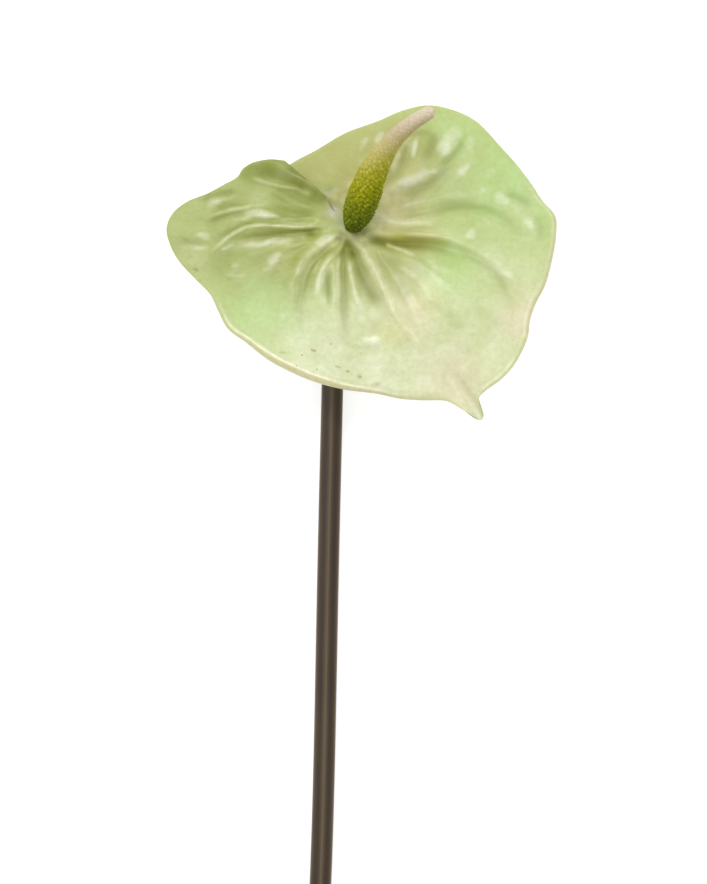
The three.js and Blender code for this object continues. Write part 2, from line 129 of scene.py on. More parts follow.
# %% Starting, selecting and finishing
def start_from(shape, name, **measures):
    """A new piece from one of Blender's starting shapes."""
    bpy.ops.object.select_all(action="DESELECT")
    shape(**measures)
    piece = bpy.context.object
    piece.name = name
    return piece


def select_only(piece):
    bpy.ops.object.select_all(action="DESELECT")
    piece.select_set(True)
    bpy.context.view_layer.objects.active = piece


def edit(piece, *steps):
    """Runs the steps in edit mode with the whole mesh selected."""
    select_only(piece)
    bpy.ops.object.mode_set(mode="EDIT")
    bpy.ops.mesh.select_all(action="SELECT")
    for step in steps:
        step()
    bpy.ops.object.mode_set(mode="OBJECT")


def apply_modifiers(piece):
    select_only(piece)
    for modifier in list(piece.modifiers):
        bpy.ops.object.modifier_apply(modifier=modifier.name)


def smooth_shading(piece):
    select_only(piece)
    bpy.ops.object.shade_smooth()


def triangles(piece):
    return sum(len(face.vertices) - 2 for face in piece.data.polygons)


def sort_mesh(piece):
    """Orders corners, edges and faces by place, as Extrude and Join list them anew in each run."""
    slanted = Vector((1, 0.618, 0.382))

    def middle(corners):
        return sum(corner.co.dot(slanted) for corner in corners) / len(corners)

    mesh = bmesh.new()
    mesh.from_mesh(piece.data)
    mesh.verts.sort(key=lambda corner: middle([corner]))
    mesh.edges.sort(key=lambda edge: middle(edge.verts))
    mesh.faces.sort(key=lambda face: middle(face.verts))
    mesh.to_mesh(piece.data)
    mesh.free()


def new_materials(piece, *names):
    for name in names:
        piece.data.materials.append(bpy.data.materials.new(name))


def corner_places(piece):
    places = np.empty(len(piece.data.vertices) * 3, np.float32)
    piece.data.vertices.foreach_get("co", places)
    return places.reshape(-1, 3).astype(float)


def place_corners(piece, places):
    piece.data.vertices.foreach_set("co", np.asarray(places, np.float32).ravel())
    piece.data.update()


def paint(piece, name, values):
    """Stores a number for each corner, or one for all, under a name that a material can read."""
    layer = piece.data.attributes.get(name)
    if layer is None:
        layer = piece.data.attributes.new(name, "FLOAT", "POINT")
    layer.data.foreach_set("value", np.full(len(piece.data.vertices), values, np.float32))


print("tools ready, every piece is kept in metres at the origin")


# %% [markdown]
# ## The spathe's margin
# The spathe is one leaf whose outline runs from the left lobe's corner at the sinus (the
# notch behind the spadix) round by the pointed tip to the right lobe's corner, which lies
# hidden under the left lobe. It could be cut from a flat sheet, but its margin also rises
# and falls, so the outline is a course of places in space: x and y from the foot, and
# the height above the table.

# %% Margin places
MARGIN = [
    (-22.9, 19.8, 14.5), (-27.3, 20.2, 14), (-32.7, 19.3, 11.6), (-36, 17.4, 9.2), (-37.8, 14.9, 7.6),
    (-42, 12.6, 6), (-47.2, 9.9, 4), (-53.6, 7.4, 2), (-58.2, 3.7, 0.8), (-60.1, -1, 0.6),
    (-58.8, -6.5, 1.5), (-55.8, -11.7, 3.8), (-50.7, -17.2, 6.2), (-46.2, -21.9, 8.6),
    (-43.8, -26.8, 10.6), (-40.7, -32.6, 12.8), (-35.2, -36.8, 15), (-27.9, -42.5, 17.8),
    (-21, -46.2, 19.8), (-13.6, -49.3, 21.4), (-4.4, -51.7, 22.8), (6.1, -53.1, 24.4),
    (13.1, -54.6, 25.4), (20.3, -55.1, 26.2), (27.7, -55.4, 26.8), (33.4, -58.6, 26.8),
    (38.5, -61.1, 25.6), (37.4, -54.7, 27.2), (39.4, -52.3, 27.4), (44.4, -48.6, 26.8),
    (48.6, -43.9, 25.6), (52.7, -35.6, 23.2), (53.5, -30.1, 21.6), (55.3, -25, 20), (58.3, -19.2, 17.6),
    (60.5, -11.5, 14.6), (61.9, -3.5, 11.6), (61.7, 2.7, 9.4), (57.7, 7.5, 8.6), (54.7, 12.2, 7.4),
    (50.3, 18.2, 5.8), (44.7, 24.6, 4.2), (37.2, 32.5, 2.4), (30.7, 35.9, 1.1), (22.3, 37.7, 0.53),
    (14.2, 36.1, 1.1), (6.3, 32.7, 2.5), (-4, 28.8, 4.2), (-13.1, 23.4, 6.2), (-20.6, 19.3, 7.6),
    (-25.7, 15.2, 8.2), (-26.6, 9.4, 9),
]
COLUMNS_PER_STRETCH = 8
COLUMNS = COLUMNS_PER_STRETCH * (len(MARGIN) - 1)

around = np.linspace(0, 1, COLUMNS + 1)
margin = smooth_course(MARGIN, around)
edge_radius = np.hypot(margin[:, 0], margin[:, 1])
edge_turn = np.arctan2(margin[:, 1], margin[:, 0])
for column in range(1, COLUMNS + 1):
    while edge_turn[column] < edge_turn[column - 1] - 0.5:
        edge_turn[column] += 2 * np.pi
edge_height = margin[:, 2]

# Inside, the blade follows an evened margin, so that the tip sends no crease to the foot.
EVENING = 1.8 / (len(MARGIN) - 1)
SINUS_SIDES = (0.04, 0.16), (0.86, 0.97)  # shares of the margin over which the evening sets in
even_weights = np.exp(-0.5 * ((around[:, None] - around[None, :]) / EVENING) ** 2)
even_weights = even_weights / even_weights.sum(1, keepdims=True)
from_sinus = smoothstep(around, *SINUS_SIDES[0]) * (1 - smoothstep(around, *SINUS_SIDES[1]))
even_reach = lerp(edge_radius, even_weights @ edge_radius, from_sinus)
even_height = lerp(edge_height, even_weights @ edge_height, from_sinus)
print(COLUMNS, "columns; the lobes reach", round(edge_radius.max(), 1), "mm from the foot")

# %% [markdown]
# ## The blade's form
# From the flat foot under the spadix the blade runs out in a low arch and rolls over at
# the margin. Close to the foot it is a whole ring; further out it is
# split at the sinus, and the left lobe swings over the right one there.

# %% Driving measures of the blade
FOOT_DISC = 5.4
FOOT_BLEND = 6.5
RING_RADIUS = 7.8
SPLIT_RISE = 2.4
SPLIT_OPENS, SPLIT_CLOSES = (0, 0.9), (2.6, 6)  # past the ring
LOBES_PART = (2.8, 13)  # past the ring
TWIST_ENDS = (0, 6)  # past the ring
CLOSING_FROM = 0.72  # share of the margin from which the right lobe swings under the left
SEAM_ENDS = 0.1, 0.86  # shares of the margin within which the two edges bend to meet
LOBE_OVERLAP = np.radians(21.3)
SINUS_GAP = np.radians(1.5)
SINUS_TWIST = np.radians(12)
LEFT_SHARE = 0.3  # how much the left lobe's height counts where the two lobes join
BLADE_ARCH = 3.0
EVEN_WITHIN = 0.7  # share of the reach within which the evened margin leads
RIM_WIDTH = 3.2
RIM_ROLL = 0.8
STRONGER_ROLLS = [(1.7, -105, 55), (1.3, -10, 35)]  # height, middle and reach in degrees
TIP_TURN, TIP_REACH = -57.8, 9
TIP_FLATTENING = 0.9


def open_height(radius, column):
    """The blade's height before its two edges are brought together at the sinus."""
    reach = edge_radius[column]
    degrees = np.degrees(edge_turn[column])
    roll = RIM_ROLL + sum(h * angle_hump(degrees, middle, wide) for h, middle, wide in STRONGER_ROLLS)
    roll = roll * (1 - TIP_FLATTENING * angle_hump(degrees, TIP_TURN, TIP_REACH))
    outer = smoothstep(radius / reach, EVEN_WITHIN, 1)
    part = radius / lerp(even_reach[column], reach, outer)
    height = lerp(even_height[column], edge_height[column], outer)
    from_margin = np.minimum(reach - radius, RIM_WIDTH) / RIM_WIDTH
    rolled = np.sqrt(np.maximum(0, 1 - (1 - from_margin) ** 2))
    chord = lerp(FOOT[2], height + roll, part)
    arch = BLADE_ARCH * (4 * part * (1 - part)) ** 2
    return chord + arch - roll * (1 - rolled)


print("the rim rolls over in its last", RIM_WIDTH, "mm")


# %% Where a point of the blade lies
def blade_place(radius, column):
    """x, y from the foot and the height of the blade's front before its folds."""
    u = around[column]
    past_ring = radius - RING_RADIUS
    closing = smoothstep(u, CLOSING_FROM, 1)
    opened = smoothstep(past_ring, *LOBES_PART)
    split = smoothstep(past_ring, *SPLIT_OPENS) * (1 - smoothstep(past_ring, *SPLIT_CLOSES))
    twist = SINUS_TWIST * (1 - smoothstep(past_ring, *TWIST_ENDS))
    swung = edge_turn[column] + twist - closing * (LOBE_OVERLAP * (1 - opened) + SINUS_GAP * split)
    x, y = radius * np.cos(swung), radius * np.sin(swung)

    first, last = np.zeros_like(column), np.full_like(column, COLUMNS)
    ends = [open_height(np.minimum(radius, edge_radius[end]), end) for end in (first, last)]
    middle = lerp(ends[1], ends[0], LEFT_SHARE)
    joined = 1 - smoothstep(past_ring, 0, SPLIT_RISE)
    towards_first = 1 - smoothstep(u, 0, SEAM_ENDS[0])
    towards_last = smoothstep(u, SEAM_ENDS[1], 1)
    seam = joined * (towards_first * (middle - ends[0]) + towards_last * (middle - ends[1]))
    blade = open_height(radius, column) + seam

    flat = FOOT[2] + FOOT_SLOPE[0] * x + FOOT_SLOPE[1] * y
    return x, y, lerp(flat, blade, smoothstep(radius, FOOT_DISC, FOOT_DISC + FOOT_BLEND))


print("flat up to", FOOT_DISC, "mm and split from", RING_RADIUS, "mm from the foot")


# %% [markdown]
# ## Veins and folds
# The main veins leave the foot in all directions. On the front they lie in valleys, and
# between the valleys run narrow crests, which are palest where they leave the foot. Each
# is a course on the blade. A valley has a depth, a width and the height of its shoulders;
# its tone says how olive it is at the foot and at what share of its length that is gone. The
# finer lines stand above the blade or, below zero, sink into it; a tone above zero is pale,
# one below it olive, and a line of no height is painted shade alone. The olive is partly the
# veins' own colour and partly painted shade, the paleness partly their cream and partly a
# painted highlight.

# %% Fold courses
FOLDS = [  # depth, half width, shoulder, tone, tone's end, course
    (1.5, 2, 0.5, 0.9, 1.2, [(-12.8, -2.4), (-18.9, -3.1), (-27, -3.5), (-33, -4.6), (-40.9, -8.4),
     (-46.9, -13.5)]),
    (0.5, 2, 0.3, 0.25, 0.9, [(-14.9, 2.2), (-23.9, 1.2), (-36.9, 1.9), (-46.9, -0.1)]),
    (0.7, 1.7, 0.2, 0.35, 0.9, [(-15.5, 10.5), (-22.4, 13.2), (-28.5, 15), (-34.9, 16.6)]),
    (1.9, 2.3, 0.1, 1, 0.8, [(2.6, -4.4), (6.4, -5.4), (10.5, -6.2), (17.6, -6.5), (24, -7), (28, -8),
     (32, -9.3), (36.5, -10.6), (40.5, -13), (46.8, -20.8), (48.6, -29.5)]),
    (0.7, 2.6, 0.1, 0.1, 0.6, [(6.5, 2.2), (16.9, 3.4), (32.5, 5.9), (45.9, 2.2), (51.6, -4.5)]),
    (0.9, 2.6, 0.4, 0.15, 0.6, [(5, 5.2), (13.1, 9.7), (25, 13.1), (32.8, 23.1)]),
    (0.9, 2.4, 0.4, 0.45, 1.1, [(3.1, 7), (11.1, 16.5), (18.1, 24.5), (21.1, 31.5)]),
    (1.2, 1.8, 0.4, 0.4, 0.7, [(-6.1, -5.4), (-15.5, -14), (-17.4, -24.8), (-15.5, -33.5)]),
    (1.3, 1.5, 0.4, 0.8, 0.7, [(-3.4, -6.3), (-4.6, -10.8), (-4.2, -27.4), (-2.3, -39.5)]),
    (1.1, 2.1, 0.2, 0.7, 0.9, [(-1.6, -7.5), (1, -13.8), (5.6, -23.1), (9.6, -30.5)]),
    (0.4, 2.4, 0.1, 0.1, 0.6, [(5.1, -8.5), (12.9, -17), (21.1, -26.8), (29.6, -40.5)]),
]
LINES = [  # height, half width, tone, risen by, falls from, course
    # The left lobe.
    (0.6, 0.6, 1, 0.1, 0.65, [(-9, -0.7), (-18.1, -1.1), (-24.9, -0.6), (-31.8, -0.5), (-36.2, -1.4),
     (-40.5, -3.9), (-45.5, -8.1), (-49.5, -11.5)]),
    (0.4, 1.3, 0.8, 0.2, 0.7, [(-13, -3.6), (-18.1, -3.9), (-24.9, -5.2), (-31.2, -5.8), (-37.2, -6.7),
     (-43.5, -7.8)]),
    (0.35, 0.7, 0.6, 0.3, 0.7, [(-26, 4.4), (-30.5, 5.8), (-35.5, 5.3), (-40.5, 4.3), (-44.5, 3),
     (-48.5, 0.6)]),
    (0.35, 0.7, 0.6, 0.2, 0.7, [(-22.5, 1.4), (-27, 2.4), (-31.5, 2.5), (-36.5, 1.8), (-41.5, 1.6)]),
    (-0.25, 0.8, -0.5, 0.3, 0.7, [(-33.5, 3.4), (-37, 3.5), (-41, 3), (-45, 1.4), (-48.5, -1)]),
    (-0.25, 0.9, -0.5, 0.2, 0.7, [(-24, 0.6), (-30, 1.4), (-34, 0.6), (-38, -1.2), (-42.5, -3.6),
     (-46.5, -6)]),
    (-0.2, 0.9, -0.4, 0.3, 0.7, [(-34.5, 6.6), (-38.5, 6.4), (-42.5, 5.8), (-47, 4.2)]),
    (-0.2, 0.9, -0.4, 0.3, 0.7, [(-37, 10.5), (-41.5, 9.8), (-46.5, 8.9), (-51, 7)]),
    (0.2, 0.9, 0.3, 0.3, 0.7, [(-36, 9.8), (-40, 8.4), (-45, 7.2), (-49.5, 5.4)]),
    (-0.15, 0.9, -0.35, 0.4, 0.7, [(-45, -5), (-49, -5.6), (-53, -5.3), (-58, -3.8)]),
    (0.2, 0.8, 0.4, 0.3, 0.7, [(-45.5, -6.6), (-49, -7.3), (-53, -7), (-56.5, -6.2)]),
    (0.28, 0.6, 0.5, 0.2, 0.8, [(-17.5, 10.6), (-21.8, 11.4), (-26, 12.1), (-30, 13.3), (-34.9, 14.8)]),
    (-0.2, 1.6, -0.3, 0.3, 0.7, [(-20, 12.8), (-24, 14.3), (-29, 16), (-33, 17)]),
    (0.25, 0.55, 0.4, 0.3, 0.7, [(-33, -15.5), (-38, -16.2), (-44, -15)]),
    (-0.12, 1.4, -0.25, 0.4, 0.6, [(-24, -10), (-26, -15), (-29.5, -22)]),
    # Below the foot.
    (0.65, 1.8, 0.8, 0, 0.3, [(-5.2, -3.7), (-8.2, -5.2), (-11.6, -7), (-15.2, -10.4), (-18, -14.5),
     (-19.8, -19.5), (-20.2, -25.5), (-18.5, -33)]),
    (-0.2, 0.9, -0.4, 0.15, 0.5, [(-9.6, -9), (-12, -11), (-14.6, -13.9), (-17, -19.5), (-18.3, -25.5),
     (-17.9, -31.5), (-16.4, -37)]),
    (0.2, 0.55, 0.6, 0.3, 0.7, [(-10.8, -9.8), (-12.8, -13), (-14.2, -16.5)]),
    (0.5, 0.9, 0.8, 0.2, 0.55, [(-6.8, -8), (-9.6, -11.8), (-11.9, -16.5), (-12.7, -22), (-13, -28)]),
    (-0.3, 1, -0.6, 0.3, 0.6, [(-8.6, -13), (-9.4, -17), (-9.3, -22), (-8.7, -27.5)]),
    (0.5, 0.6, 0.8, 0.2, 0.6, [(-5.6, -9), (-6, -14), (-5.8, -20), (-5.6, -28)]),
    (-0.3, 1, -0.5, 0.2, 0.5, [(-3.6, -9.5), (-4.5, -15), (-4.4, -22), (-4.3, -29), (-3.6, -36),
     (-2.4, -42)]),
    (-0.55, 1.9, -1, 0, 0.5, [(-3, -5.4), (-1.8, -8), (-1.2, -10.4), (-0.9, -13.4)]),
    (0.5, 0.8, 0.8, 0.2, 0.5, [(-3, -10), (-2.5, -15), (-1.2, -20), (-0.4, -24), (1, -28.5)]),
    (-0.45, 1.7, -0.6, 0.2, 0.65, [(-0.6, -10), (0.8, -15), (2.8, -19.5), (6, -24), (9.2, -28)]),
    (0.75, 1.9, 0.9, 0, 0.3, [(-0.4, -4.8), (1.8, -8.1), (4.1, -12.6), (5.7, -16), (8.1, -20.2),
     (10.3, -24.4), (13.2, -30.4), (18.4, -38.7), (23.4, -45.7)]),
    (0.22, 0.7, 0.8, 0.2, 0.85, [(4.8, -14), (7.6, -20.6), (10.4, -26.4), (13.5, -31), (17, -35.6),
     (20.5, -40)]),
    (0.25, 1, 0.5, 0.4, 0.6, [(10.5, -12), (14, -14.2), (17, -16.5), (20, -20)]),
    (-0.12, 1.3, -0.12, 0.5, 0.6, [(20, -24), (25.5, -26.8), (29.8, -30.2), (33.2, -35.4),
     (36.2, -44)]),
    (0.15, 0.8, 0.5, 0.4, 0.6, [(-0.5, -36), (4, -37.2), (8.5, -35.8)]),
    (0.1, 0.9, 0.3, 0.4, 0.6, [(1.2, -26.5), (4.5, -29.5), (8, -30.5)]),
    (0.2, 0.7, 1, 0.3, 0.8, [(27.6, -47.5), (30, -51), (32.6, -54.6), (36, -59)]),
    # The great valley to the right of the foot.
    (-0.2, 1.1, -0.35, 0.4, 0.65, [(20, -6.4), (28, -7.6), (32.2, -9), (36.2, -11), (40.4, -13),
     (44.8, -18.2), (47, -24), (48, -31)]),
    (0.3, 0.65, 0.6, 0.2, 0.7, [(11, -3.2), (18, -3.4), (25, -4.2), (32.7, -6.4), (38.6, -9.2),
     (43.2, -13), (47.2, -17.5)]),
    (0.5, 0.55, 1, 0.15, 0.6, [(8.2, -6.3), (11, -7.3), (15, -8.6), (20, -10.8)]),
    (0, 1.4, -0.55, 0.1, 0.6, [(7.6, -5.6), (11, -5.4), (16, -5.2), (22, -5.6), (30, -7.6)]),
    (0, 1.5, -0.35, 0.1, 0.6, [(6.8, -1.4), (10, -1.4), (15, -1.8), (20, -1.7), (27, -1.8)]),
    (0, 3.2, -0.2, 0.1, 0.6, [(8.6, -11), (12, -12.6), (18, -14), (25, -15.6)]),
    (0, 1.6, -0.25, 0.3, 0.6, [(11.5, -16), (14.3, -20.3), (17.5, -25)]),
    (0, 2.5, -0.15, 0.3, 0.6, [(24, -11), (28, -12.6), (32.5, -15)]),
    (0, 1.8, -0.25, 0.3, 0.6, [(6, -25), (7.5, -27.7), (9.5, -32.5)]),
    # The right lobe.
    (0.55, 0.95, 1, 0, 0.5, [(4.6, 2.6), (8.6, 1.5), (13.7, 0.6), (22, 1.3), (30, 1.8)]),
    (-0.3, 1.5, -0.45, 0.2, 0.6, [(10, 2.2), (16, 2.7), (22, 3.7), (28, 5.3), (34, 5.9), (41, 4.6),
     (46.4, 1.4), (50.4, -2.2), (53.8, -8)]),
    (0.4, 0.65, 0.8, 0.2, 0.5, [(11.5, 4.6), (16, 6), (20.5, 7.3), (28, 8.2)]),
    (0.3, 0.8, 0.4, 0.3, 0.7, [(24, 9.6), (29, 13.2), (34.5, 18.4), (38, 22.5)]),
    (-0.3, 1.2, -0.45, 0.2, 0.7, [(12, 8.2), (17.5, 10), (22.6, 12.8), (27, 16.8), (31.4, 20.4)]),
    (0.5, 1.2, 0.6, 0, 0.4, [(7, 7.4), (10, 10), (14, 12), (18.7, 13.6), (23.6, 15.8), (28, 18.4)]),
    (0, 1.2, -0.4, 0.3, 0.7, [(14.5, 31), (18.5, 32.8), (22.5, 33.2)]),
    (-0.45, 1.1, -0.5, 0.3, 0.75, [(24, 17.6), (28, 20.2), (31.4, 23.8), (34.4, 28.4)]),
    (-0.35, 1.7, -0.45, 0.4, 0.8, [(19, 18), (21.6, 22), (23.4, 26), (23, 30)]),
    (-0.15, 1.2, -0.35, 0.4, 0.7, [(14.5, 26.5), (18, 28.4), (22, 28.6), (25, 27)]),
    (-0.35, 0.8, -0.5, 0.3, 0.8, [(12.6, 17), (14.6, 21.5), (15.4, 26)]),
    (0.3, 0.8, 0.5, 0.3, 0.7, [(9.6, 15.5), (12, 19.6), (13.6, 24.2)]),
    (-0.3, 1.4, -0.5, 0.3, 0.7, [(45.6, 10), (50, 8.4), (55.4, 5.4)]),
    (-0.2, 1.2, -0.3, 0.3, 0.7, [(55.8, 4), (57, -1), (56.6, -6)]),
]
TONE_FADES_FROM = 0.1  # share of the length over which a tone is lost
LINE_WIDENING = (1.1, 1.35)  # of the half width, from a line's start to its end
FOLD_WIDENING = (0.6, 1.5)
FOLD_FADES_FROM = 0.35
SHOULDER_AT = 2.1  # from a fold's middle, in half widths
ROUTE_STEPS = 30
FOLD_START = (-0.5, 2.4)  # past its start, where a valley's colour sets in
TONES_BEGIN = (4.2, 6.6)  # distance from the spadix's base at which lines take their colour
SPADIX_BASE = np.array([-1.0, 0.2])  # x, y from the foot's middle
print(len(FOLDS), "folds and", len(LINES), "lines")


def nearest_on(route, x, y):
    """Distance to a route and how far along it, 0 to 1, the nearest place is."""
    course = smooth_course(route, np.linspace(0, 1, ROUTE_STEPS + 1))
    nearest = np.full(x.shape, np.inf)
    along = np.zeros(x.shape)
    for step, ((px, py), (qx, qy)) in enumerate(zip(course[:-1], course[1:])):
        run_x, run_y = qx - px, qy - py
        share = ((x - px) * run_x + (y - py) * run_y) / (run_x**2 + run_y**2)
        share = np.clip(share, 0, 1)
        distance = np.hypot(x - px - share * run_x, y - py - share * run_y)
        closer = distance < nearest
        nearest[closer] = distance[closer]
        along[closer] = (step + share[closer]) / ROUTE_STEPS
    return nearest, along


# %% Fold relief
def fold_relief(x, y):
    """Height that the folds add, the valleys' tone and the crests' paleness, both 0 to 1; the tone is
    partly painted shade and the paleness partly a painted highlight.
    """
    relief, valley, crest = np.zeros(x.shape), np.zeros(x.shape), np.zeros(x.shape)
    for height, width, tone, risen, falls, route in LINES:
        distance, along = nearest_on(route, x, y)
        fade = 1 - smoothstep(along, falls, 1)
        if risen > 0:
            fade = fade * smoothstep(along, 0, risen)
        line = fade * np.exp(-((distance / (width * lerp(*LINE_WIDENING, along))) ** 2))
        relief += height * line
        crest = np.maximum(crest, tone * line)
        valley = np.maximum(valley, -tone * line)
    for depth, width, shoulder, tone, tone_end, route in FOLDS:
        distance, along = nearest_on(route, x, y)
        fade = 1 - smoothstep(along, FOLD_FADES_FROM, 1)
        wide = width * lerp(*FOLD_WIDENING, along)
        sunk = np.exp(-((distance / wide) ** 2))
        shoulders = np.exp(-(((distance - SHOULDER_AT * wide) / wide) ** 2))
        relief += fade * (shoulder * shoulders - depth * sunk)
        begun = smoothstep(np.hypot(x, y) - np.hypot(*route[0]), *FOLD_START)
        toned = tone * begun * (1 - smoothstep(along, TONE_FADES_FROM * tone_end, tone_end))
        valley = np.maximum(valley, toned * sunk)
    off_foot = smoothstep(np.hypot(x - SPADIX_BASE[0], y - SPADIX_BASE[1]), *TONES_BEGIN)
    valley, crest = valley * off_foot, crest * off_foot
    return relief, valley * (1 - crest), crest * (1 - 0.5 * valley)


left_fold = fold_relief(np.array([-22.0]), np.array([-3.3]))[0]
print("relief in the left lobe's fold", left_fold.round(2), "mm")


# %% [markdown]
# ## Quilting
# Between the veins the blade swells into soft cushions of five to nine millimetres.
# Cushions could come from a sculpting brush. Here seeded middles are strewn over the blade
# instead, and every place swells by how far it is from the border between its two nearest
# middles. The swellings that catch the light are given one by one, and the left lobe gets
# fine streaks along its spokes.

# %% Cushions
CUSHION_SPACING = 6.0
CUSHION_HEIGHT = 0.12
CUSHION_BORDER = 0.75  # how wide the slopes between two tops are, in spacings
# Each swelling also gets a painted highlight: a pale patch laid on the colour over its top.
SWELLINGS = [  # x, y from the foot, half length, half width, direction in degrees, strength
    (28.6, 25.8, 5, 2.5, 54, 1), (17.8, 24.4, 3.4, 1.1, 82, 0.9), (23.5, 16.3, 1.6, 1.1, 20, 0.7),
    (32.8, 17, 2.2, 1.1, 45, 0.8), (35, 25.6, 2.2, 1.5, 50, 0.5), (38.8, 10.8, 1.4, 1.2, 30, 0.5),
    (44.8, 8, 2.8, 1.6, -18, 1), (53.3, 0.2, 2.6, 1.2, -65, 1), (35.2, -3.2, 1.5, 1.3, 70, 0.9),
    (46.8, -15.8, 1.9, 1.1, -38, 1), (43.6, -12, 1.8, 0.9, -10, 0.6), (40, 0.4, 2.2, 0.8, -55, 0.4),
    (35.1, -33.4, 1.7, 1, 20, 0.5), (4.4, -36.8, 3.6, 1.3, 4, 0.9), (1, -28, 4.6, 2, -60, 0.5),
    (-23.4, -28.8, 1.1, 1, 0, 0.7), (-44.4, 7.4, 3.4, 1.5, 14, 0.6), (-48.4, -3.5, 2.8, 1.2, -8, 0.7),
    (-50.6, -7, 2.3, 0.9, -5, 0.5), (-26.2, -11, 2.8, 1.5, 42, 0.7), (-28.2, -14.2, 1.4, 1.1, 0, 0.4),
    (-38.6, -12.9, 2, 0.8, 3, 0.5), (-30.4, 3.4, 5.4, 1.5, -8, 0.8), (-27.8, -5.6, 6.4, 1.1, 8, 0.9),
    (-41, -7.3, 2.2, 0.8, 12, 0.6), (-11.6, -17.4, 4.2, 1.1, 70, 0.7), (0.4, -24.4, 3.6, 1.1, -60, 0.6),
    (15.6, -15.4, 2.4, 1, -38, 0.3), (16.4, 13.4, 6, 2, 27, 1), (6.4, 1.6, 2.6, 1.2, -65, 0.6),
    (15.5, 12.6, 2.6, 0.9, 22, 0.4), (41.5, 16.5, 3, 1.6, 40, 0.3), (-10.6, -5.2, 3.4, 1.4, 32, 0.7),
    (8.6, 1.5, 2.2, 0.8, -28, 0.7), (1.8, 25.8, 2.4, 1.2, 65, 0.8), (6.6, 27.4, 2.2, 1, 62, 0.6),
    (-7.9, 3.8, 0.9, 0.8, 60, 1),
]
SWELLING_STEEPNESS = 0.16  # height for each millimetre of half width
SWELLING_WANDER = 0.55  # how far a swelling's outline wanders
STREAKS = [(19, 0.4), (31, 1.9), (43, 4.1), (53, 0.7), (67, 2.6)]  # turns round and phases
STREAK_HEIGHT = 0.08
STREAKS_END = (0.25, 0.4)  # shares of the margin: only the left lobe has them

SPOKE_SCALE, LENGTH_SCALE = 24.0, 0.62  # cushions are longer along the spokes than across
TURNS, FURTHEST = (-3.4, 9.8), 50  # how far the cushions' middles are strewn, round and out

rng = np.random.default_rng(11)
across = np.arange(*TURNS, CUSHION_SPACING / SPOKE_SCALE) * SPOKE_SCALE
outwards = np.arange(0, FURTHEST, CUSHION_SPACING)
middles = np.array([(s, q) for s in across for q in outwards])
middles = middles + rng.uniform(-0.5, 0.5, middles.shape) * CUSHION_SPACING


def cushions(turn, radius):
    """0 on the borders between cushions, 1 on their tops."""
    s, q = SPOKE_SCALE * turn, LENGTH_SCALE * radius
    first = np.full(s.shape, np.inf)
    second = np.full(s.shape, np.inf)
    for px, py in middles:
        distance = np.hypot(s - px, q - py)
        second = np.minimum(second, np.maximum(first, distance))
        first = np.minimum(first, distance)
    return smoothstep(second - first, 0, CUSHION_BORDER * CUSHION_SPACING)


def swellings(x, y):
    """Height that the swellings add and how near to the top of one each place is, 0 to 1, which sets the
    painted highlight on it.
    """
    relief, shine = np.zeros(x.shape), np.zeros(x.shape)
    for px, py, long, wide, direction, strength in SWELLINGS:
        turn = np.radians(direction)
        ragged = SWELLING_WANDER * np.sin(1.1 * y + 0.6 * x + px)
        uneven = SWELLING_WANDER * np.sin(0.9 * x - 0.5 * y + py)
        ahead = (x - px) * np.cos(turn) + (y - py) * np.sin(turn) + ragged
        aside = (y - py) * np.cos(turn) - (x - px) * np.sin(turn) + 0.5 * uneven
        bulge = strength * np.exp(-(((ahead / long) ** 2 + (aside / wide) ** 2) ** 1.5))
        relief += SWELLING_STEEPNESS * wide * bulge
        shine = np.maximum(shine, bulge)
    return relief, shine


def streaks(turn, radius):
    """Fine waves that run out along the spokes and wander a little, about -1 to 1."""
    waves = [np.sin(n * (turn + 0.05 * np.sin(radius / 7 + phase)) + phase) for n, phase in STREAKS]
    return sum(waves) / 2.5


print(len(middles), "cushions are strewn and", len(SWELLINGS), "swellings placed")


# %% [markdown]
# ## Making the spathe
# A grid is the natural start for a leaf: its columns become the spokes from the foot and
# its rows the rings. The corners are laid out by the measures above, the seam is welded
# as far as the blade is a whole ring, and a Solidify modifier gives the leaf its
# thickness: thicker at the foot, under a millimetre in the blade.

# %% Lay out a grid
FOOT_ROWS = [0, 1.6, 3.0, 4.4, 5.4, 6.2, 7.0, RING_RADIUS]
BLADE_ROWS = 72
ROW_GROWTH = 1.15  # above 1, the rows are closer together near the foot
RIM_ROWS = 9
ROWS = len(FOOT_ROWS) + BLADE_ROWS + RIM_ROWS

spathe = start_from(
    bpy.ops.mesh.primitive_grid_add, "spathe_blade",
    x_subdivisions=COLUMNS, y_subdivisions=ROWS - 1, size=2,
)
flat_grid = corner_places(spathe)
column_of = np.rint((flat_grid[:, 0] + 1) / 2 * COLUMNS).astype(int)
row_of = np.rint((flat_grid[:, 1] + 1) / 2 * (ROWS - 1)).astype(int)
print(len(flat_grid), "corners,", ROWS, "rows")

# %% Rows to radii
reach = edge_radius[column_of]
radius = np.zeros(len(row_of))
for row in range(ROWS):
    here = row_of == row
    blade_row = row - len(FOOT_ROWS) + 1
    if blade_row <= 0:
        radius[here] = FOOT_ROWS[row]
    elif blade_row <= BLADE_ROWS:
        part = (blade_row / BLADE_ROWS) ** ROW_GROWTH
        radius[here] = lerp(RING_RADIUS, reach[here] - RIM_WIDTH, part)
    else:
        part = np.sin((blade_row - BLADE_ROWS) / RIM_ROWS * np.pi / 2)
        radius[here] = reach[here] - RIM_WIDTH * (1 - part)

# The ring near the foot is whole, so its last column is its first.
source = np.where((column_of == COLUMNS) & (radius <= RING_RADIUS), 0, column_of)
u = around[source]
reach = edge_radius[source]
x, y, plain_height = blade_place(radius, source)
print("blade from", plain_height.min().round(2), "to", plain_height.max().round(2), "mm high")

